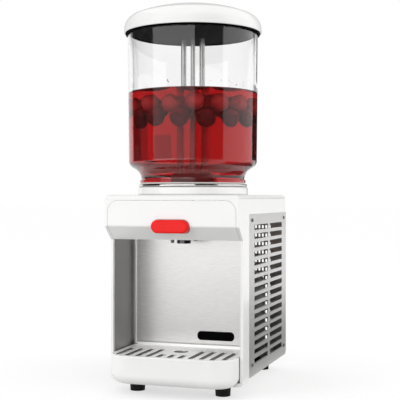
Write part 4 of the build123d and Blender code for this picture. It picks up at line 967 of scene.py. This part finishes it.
# Upright cards round the bowl's axis: the angles where each starts and ends, in degrees from the
# front to the right, its distance, its lowest and highest edge in metres, and its glow.
# A card named edge shows only through the glass, one named low only in reflections.
CARDS_ROUND = (
    ("flag_right", 22, 72, 2.6, 0.85, 3.6, 0.03),
    ("flag_right_low", 22, 72, 2.6, -0.4, 0.85, 0.03),
    ("flag_left", -113, -54, 2.6, 0.85, 3.6, 0.03),
    ("flag_left_low", -113, -54, 2.6, -0.4, 0.85, 0.03),
    ("flag_rear", 173, 182, 28.0, 3.8, 5.8, 0.05),
    ("flag_rear_low", 170, 188, 3.2, 0.2, 0.9, 0.02),
    ("card_rear", 181, 190, 28.0, 1.62, 2.5, 0.6),
    ("flag_side_low", 149, 170, 3.2, 0.45, 0.9, 0.02),
    ("card_left_edge", 156, 169, 28.0, 1.7, 3.7, 0.25),
    ("card_next_edge", 169, 176, 28.0, 1.7, 3.7, 0.55),
    ("card_right_edge", 241, 264, 28.0, 1.7, 3.7, 0.03),
    ("card_front_low", -64, 40, 2.3, 0.0, 0.38, 2.4),
    ("card_crown", 150, 250, 3.4, 1.25, 3.4, 0.35),
    ("card_front", -64, 22, 2.6, 0.42, 0.92, 0.8),
)
# Dark cards on the floor, seen only in the steel side and in the niche: two corners and the glow
CARDS_ON_FLOOR = (
    ("card_side", (0.16, -0.15), (0.85, 1.25), 0.08),
    ("card_niche", (-0.9, -2.1), (0.8, -0.45), 0.1),
)
CARD_ABOVE_FLOOR = 0.004

# Lamps round the bowl's axis: angle, height, distance, downward tilt, width, height of the lamp,
# power, and the one piece that it lights, where it doesn't light them all
LAMPS = (
    ("key_softbox", -42, 1.0, 2.4, 0, 1.3, 2.2, 14.0, None),
    ("right_softbox", 100, 1.1, 2.6, 0, 1.2, 2.2, 14.0, None),
    ("grid_lamp", 10, 0.9, 1.1, 38, 0.4, 0.3, 9.0, "drip_grid"),
)

# The camera that was fitted to the photo
CAMERA_PLACE, CAMERA_TURN = (0.5606, -1.6985, 0.3468), radians(18.34)
CAMERA_SENSOR, CAMERA_LENS, CAMERA_SHIFT = 36.0, 85.04, -0.0085


class DISPENSER_OT_stage(bpy.types.Operator):
    """Sets the floor, the light and the camera"""

    bl_idname = "dispenser.stage"
    bl_label = "Stage"

    def execute(self, context):
        context.scene.view_settings.view_transform = "Standard"
        self.sky(context.scene)
        self.floor()
        self.cards()
        self.lamps()
        self.camera(context.scene)
        return {"FINISHED"}

    def seen_rays(self, tree):
        """1 for rays that show the background: direct, mirrored or through glass."""
        path = put(tree, "ShaderNodeLightPath")
        direct = put(
            tree,
            "ShaderNodeMath",
            {0: path.outputs["Is Camera Ray"], 1: path.outputs["Is Glossy Ray"]},
            operation="MAXIMUM",
        )
        both = put(
            tree,
            "ShaderNodeMath",
            {0: direct.outputs[0], 1: path.outputs["Is Transmission Ray"]},
            operation="MAXIMUM",
        )
        return both.outputs[0]

    def sky(self, scene):
        """A white sky that gives more light from its horizon than from above."""
        world = bpy.data.worlds.new("studio")
        scene.world = world
        world.use_nodes = True
        tree = world.node_tree
        tree.nodes.clear()
        look = put(tree, "ShaderNodeTexCoord").outputs["Generated"]
        height = put(tree, "ShaderNodeSeparateXYZ", {"Vector": look}).outputs["Z"]
        light = put(
            tree, "ShaderNodeMapRange", {"Value": height, "To Min": SKY_LOW, "To Max": SKY_HIGH}
        )
        strength = put(
            tree,
            "ShaderNodeMapRange",
            {"Value": self.seen_rays(tree), "To Min": light.outputs[0], "To Max": SKY_SEEN},
        )
        white = put(
            tree,
            "ShaderNodeBackground",
            {"Color": colour("#ffffff"), "Strength": strength.outputs[0]},
        )
        put(tree, "ShaderNodeOutputWorld", {"Surface": white.outputs[0]})

    def floor(self):
        """A pale floor that runs into the sky and keeps the dispenser's shadow."""
        clear_selection()
        bpy.ops.mesh.primitive_plane_add(size=FLOOR_SIZE)
        ground = named("studio_floor")
        material, tree = fresh("pale_floor")
        glow = put(
            tree,
            "ShaderNodeMapRange",
            {"Value": self.seen_rays(tree), "To Min": FLOOR_LIGHT, "To Max": FLOOR_SEEN},
        )
        light = put(
            tree, "ShaderNodeEmission", {"Color": colour("#ffffff"), "Strength": glow.outputs[0]}
        )
        paint = put(tree, "ShaderNodeBsdfDiffuse", {"Color": colour(FLOOR_GREY)})
        both = put(tree, "ShaderNodeAddShader", {0: light.outputs[0], 1: paint.outputs[0]})
        put(tree, "ShaderNodeOutputMaterial", {"Surface": both.outputs[0]})
        ground.data.materials.append(material)

    def cards(self):
        """Cards that only reflections and the glass show, as in a photo studio."""
        for name, start, end, reach, low, high, glow in CARDS_ROUND:
            middle, half = radians((start + end) / 2), radians((end - start) / 2)
            place = (reach * sin(middle), AXIS_Y - reach * cos(middle), (low + high) / 2)
            size = (2 * reach * tan(half), high - low, 1.0)
            card = self.card(name, place, (pi / 2, 0, middle), size, glow)
            card.visible_glossy = not name.endswith("_edge")
            card.visible_transmission = not name.endswith("_low")
        for name, (left, front), (right, rear), glow in CARDS_ON_FLOOR:
            place = ((left + right) / 2, (front + rear) / 2, CARD_ABOVE_FLOOR)
            card = self.card(name, place, (0, 0, 0), (right - left, rear - front, 1.0), glow)
            card.visible_transmission = False

    def card(self, name, place, turn, size, glow):
        """One glowing card, which lights nothing and casts no shadow."""
        clear_selection()
        bpy.ops.mesh.primitive_plane_add(size=1.0, location=place, rotation=turn)
        bpy.context.object.scale = size
        card = named(name)
        bpy.ops.object.transform_apply(location=True, rotation=True, scale=True)
        material, tree = fresh(name)
        shine = put(tree, "ShaderNodeEmission", {"Color": colour("#ffffff"), "Strength": glow})
        put(tree, "ShaderNodeOutputMaterial", {"Surface": shine.outputs[0]})
        card.data.materials.append(material)
        card.visible_camera = False
        card.visible_diffuse = False
        card.visible_volume_scatter = False
        card.visible_shadow = False
        return card

    def lamps(self):
        """Soft lamps that no reflection shows."""
        for name, turn, height, reach, tilt, wide, tall, power, only in LAMPS:
            angle = radians(turn)
            clear_selection()
            bpy.ops.object.light_add(
                type="AREA",
                location=(reach * sin(angle), AXIS_Y - reach * cos(angle), height),
                rotation=(pi / 2 - radians(tilt), 0, angle),
            )
            lamp = named(name)
            lamp.data.shape = "RECTANGLE"
            lamp.data.size, lamp.data.size_y = wide, tall
            lamp.data.energy = power
            lamp.visible_glossy = False
            lamp.visible_transmission = False
            if only:
                lit = bpy.data.collections.new(f"lit_by_{name}")
                lit.objects.link(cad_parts[only])
                lamp.light_linking.receiver_collection = lit

    def camera(self, scene):
        """The photo's point of view."""
        clear_selection()
        bpy.ops.object.camera_add(location=CAMERA_PLACE, rotation=(pi / 2, 0, CAMERA_TURN))
        eye = bpy.context.object
        eye.data.sensor_width = CAMERA_SENSOR
        eye.data.lens = CAMERA_LENS
        eye.data.shift_y = CAMERA_SHIFT
        scene.camera = eye


class DISPENSER_PT_panel(bpy.types.Panel):
    """Lists the dispenser's operators and values"""

    bl_idname = "DISPENSER_PT_panel"
    bl_label = "Juice dispenser"
    bl_space_type = "VIEW_3D"
    bl_region_type = "UI"
    bl_category = "Dispenser"

    def draw(self, context):
        for group in (context.scene.dispenser_sizes, context.scene.dispenser_colours):
            for key in group.bl_rna.properties.keys():
                if key not in ("rna_type", "name"):
                    self.layout.prop(group, key)
        for operator in OPERATORS:
            self.layout.operator(operator.bl_idname)


OPERATORS = (
    DISPENSER_OT_finishes,
    DISPENSER_OT_bowl,
    DISPENSER_OT_lid,
    DISPENSER_OT_juice,
    DISPENSER_OT_cherries,
    DISPENSER_OT_drops,
    DISPENSER_OT_spring,
    DISPENSER_OT_stage,
)
CLASSES = (DispenserSizes, DispenserColours, *OPERATORS, DISPENSER_PT_panel)


def register():
    for cls in CLASSES:
        bpy.utils.register_class(cls)
    bpy.types.Scene.dispenser_sizes = bpy.props.PointerProperty(type=DispenserSizes)
    bpy.types.Scene.dispenser_colours = bpy.props.PointerProperty(type=DispenserColours)


def unregister():
    del bpy.types.Scene.dispenser_colours
    del bpy.types.Scene.dispenser_sizes
    for cls in reversed(CLASSES):
        bpy.utils.unregister_class(cls)


def main():
    register()
    bpy.ops.dispenser.finishes()
    bpy.ops.dispenser.bowl()
    bpy.ops.dispenser.lid()
    bpy.ops.dispenser.juice()
    bpy.ops.dispenser.cherries()
    bpy.ops.dispenser.drops()
    bpy.ops.dispenser.spring()
    bpy.ops.dispenser.stage()


if __name__ == "__main__":
    main()
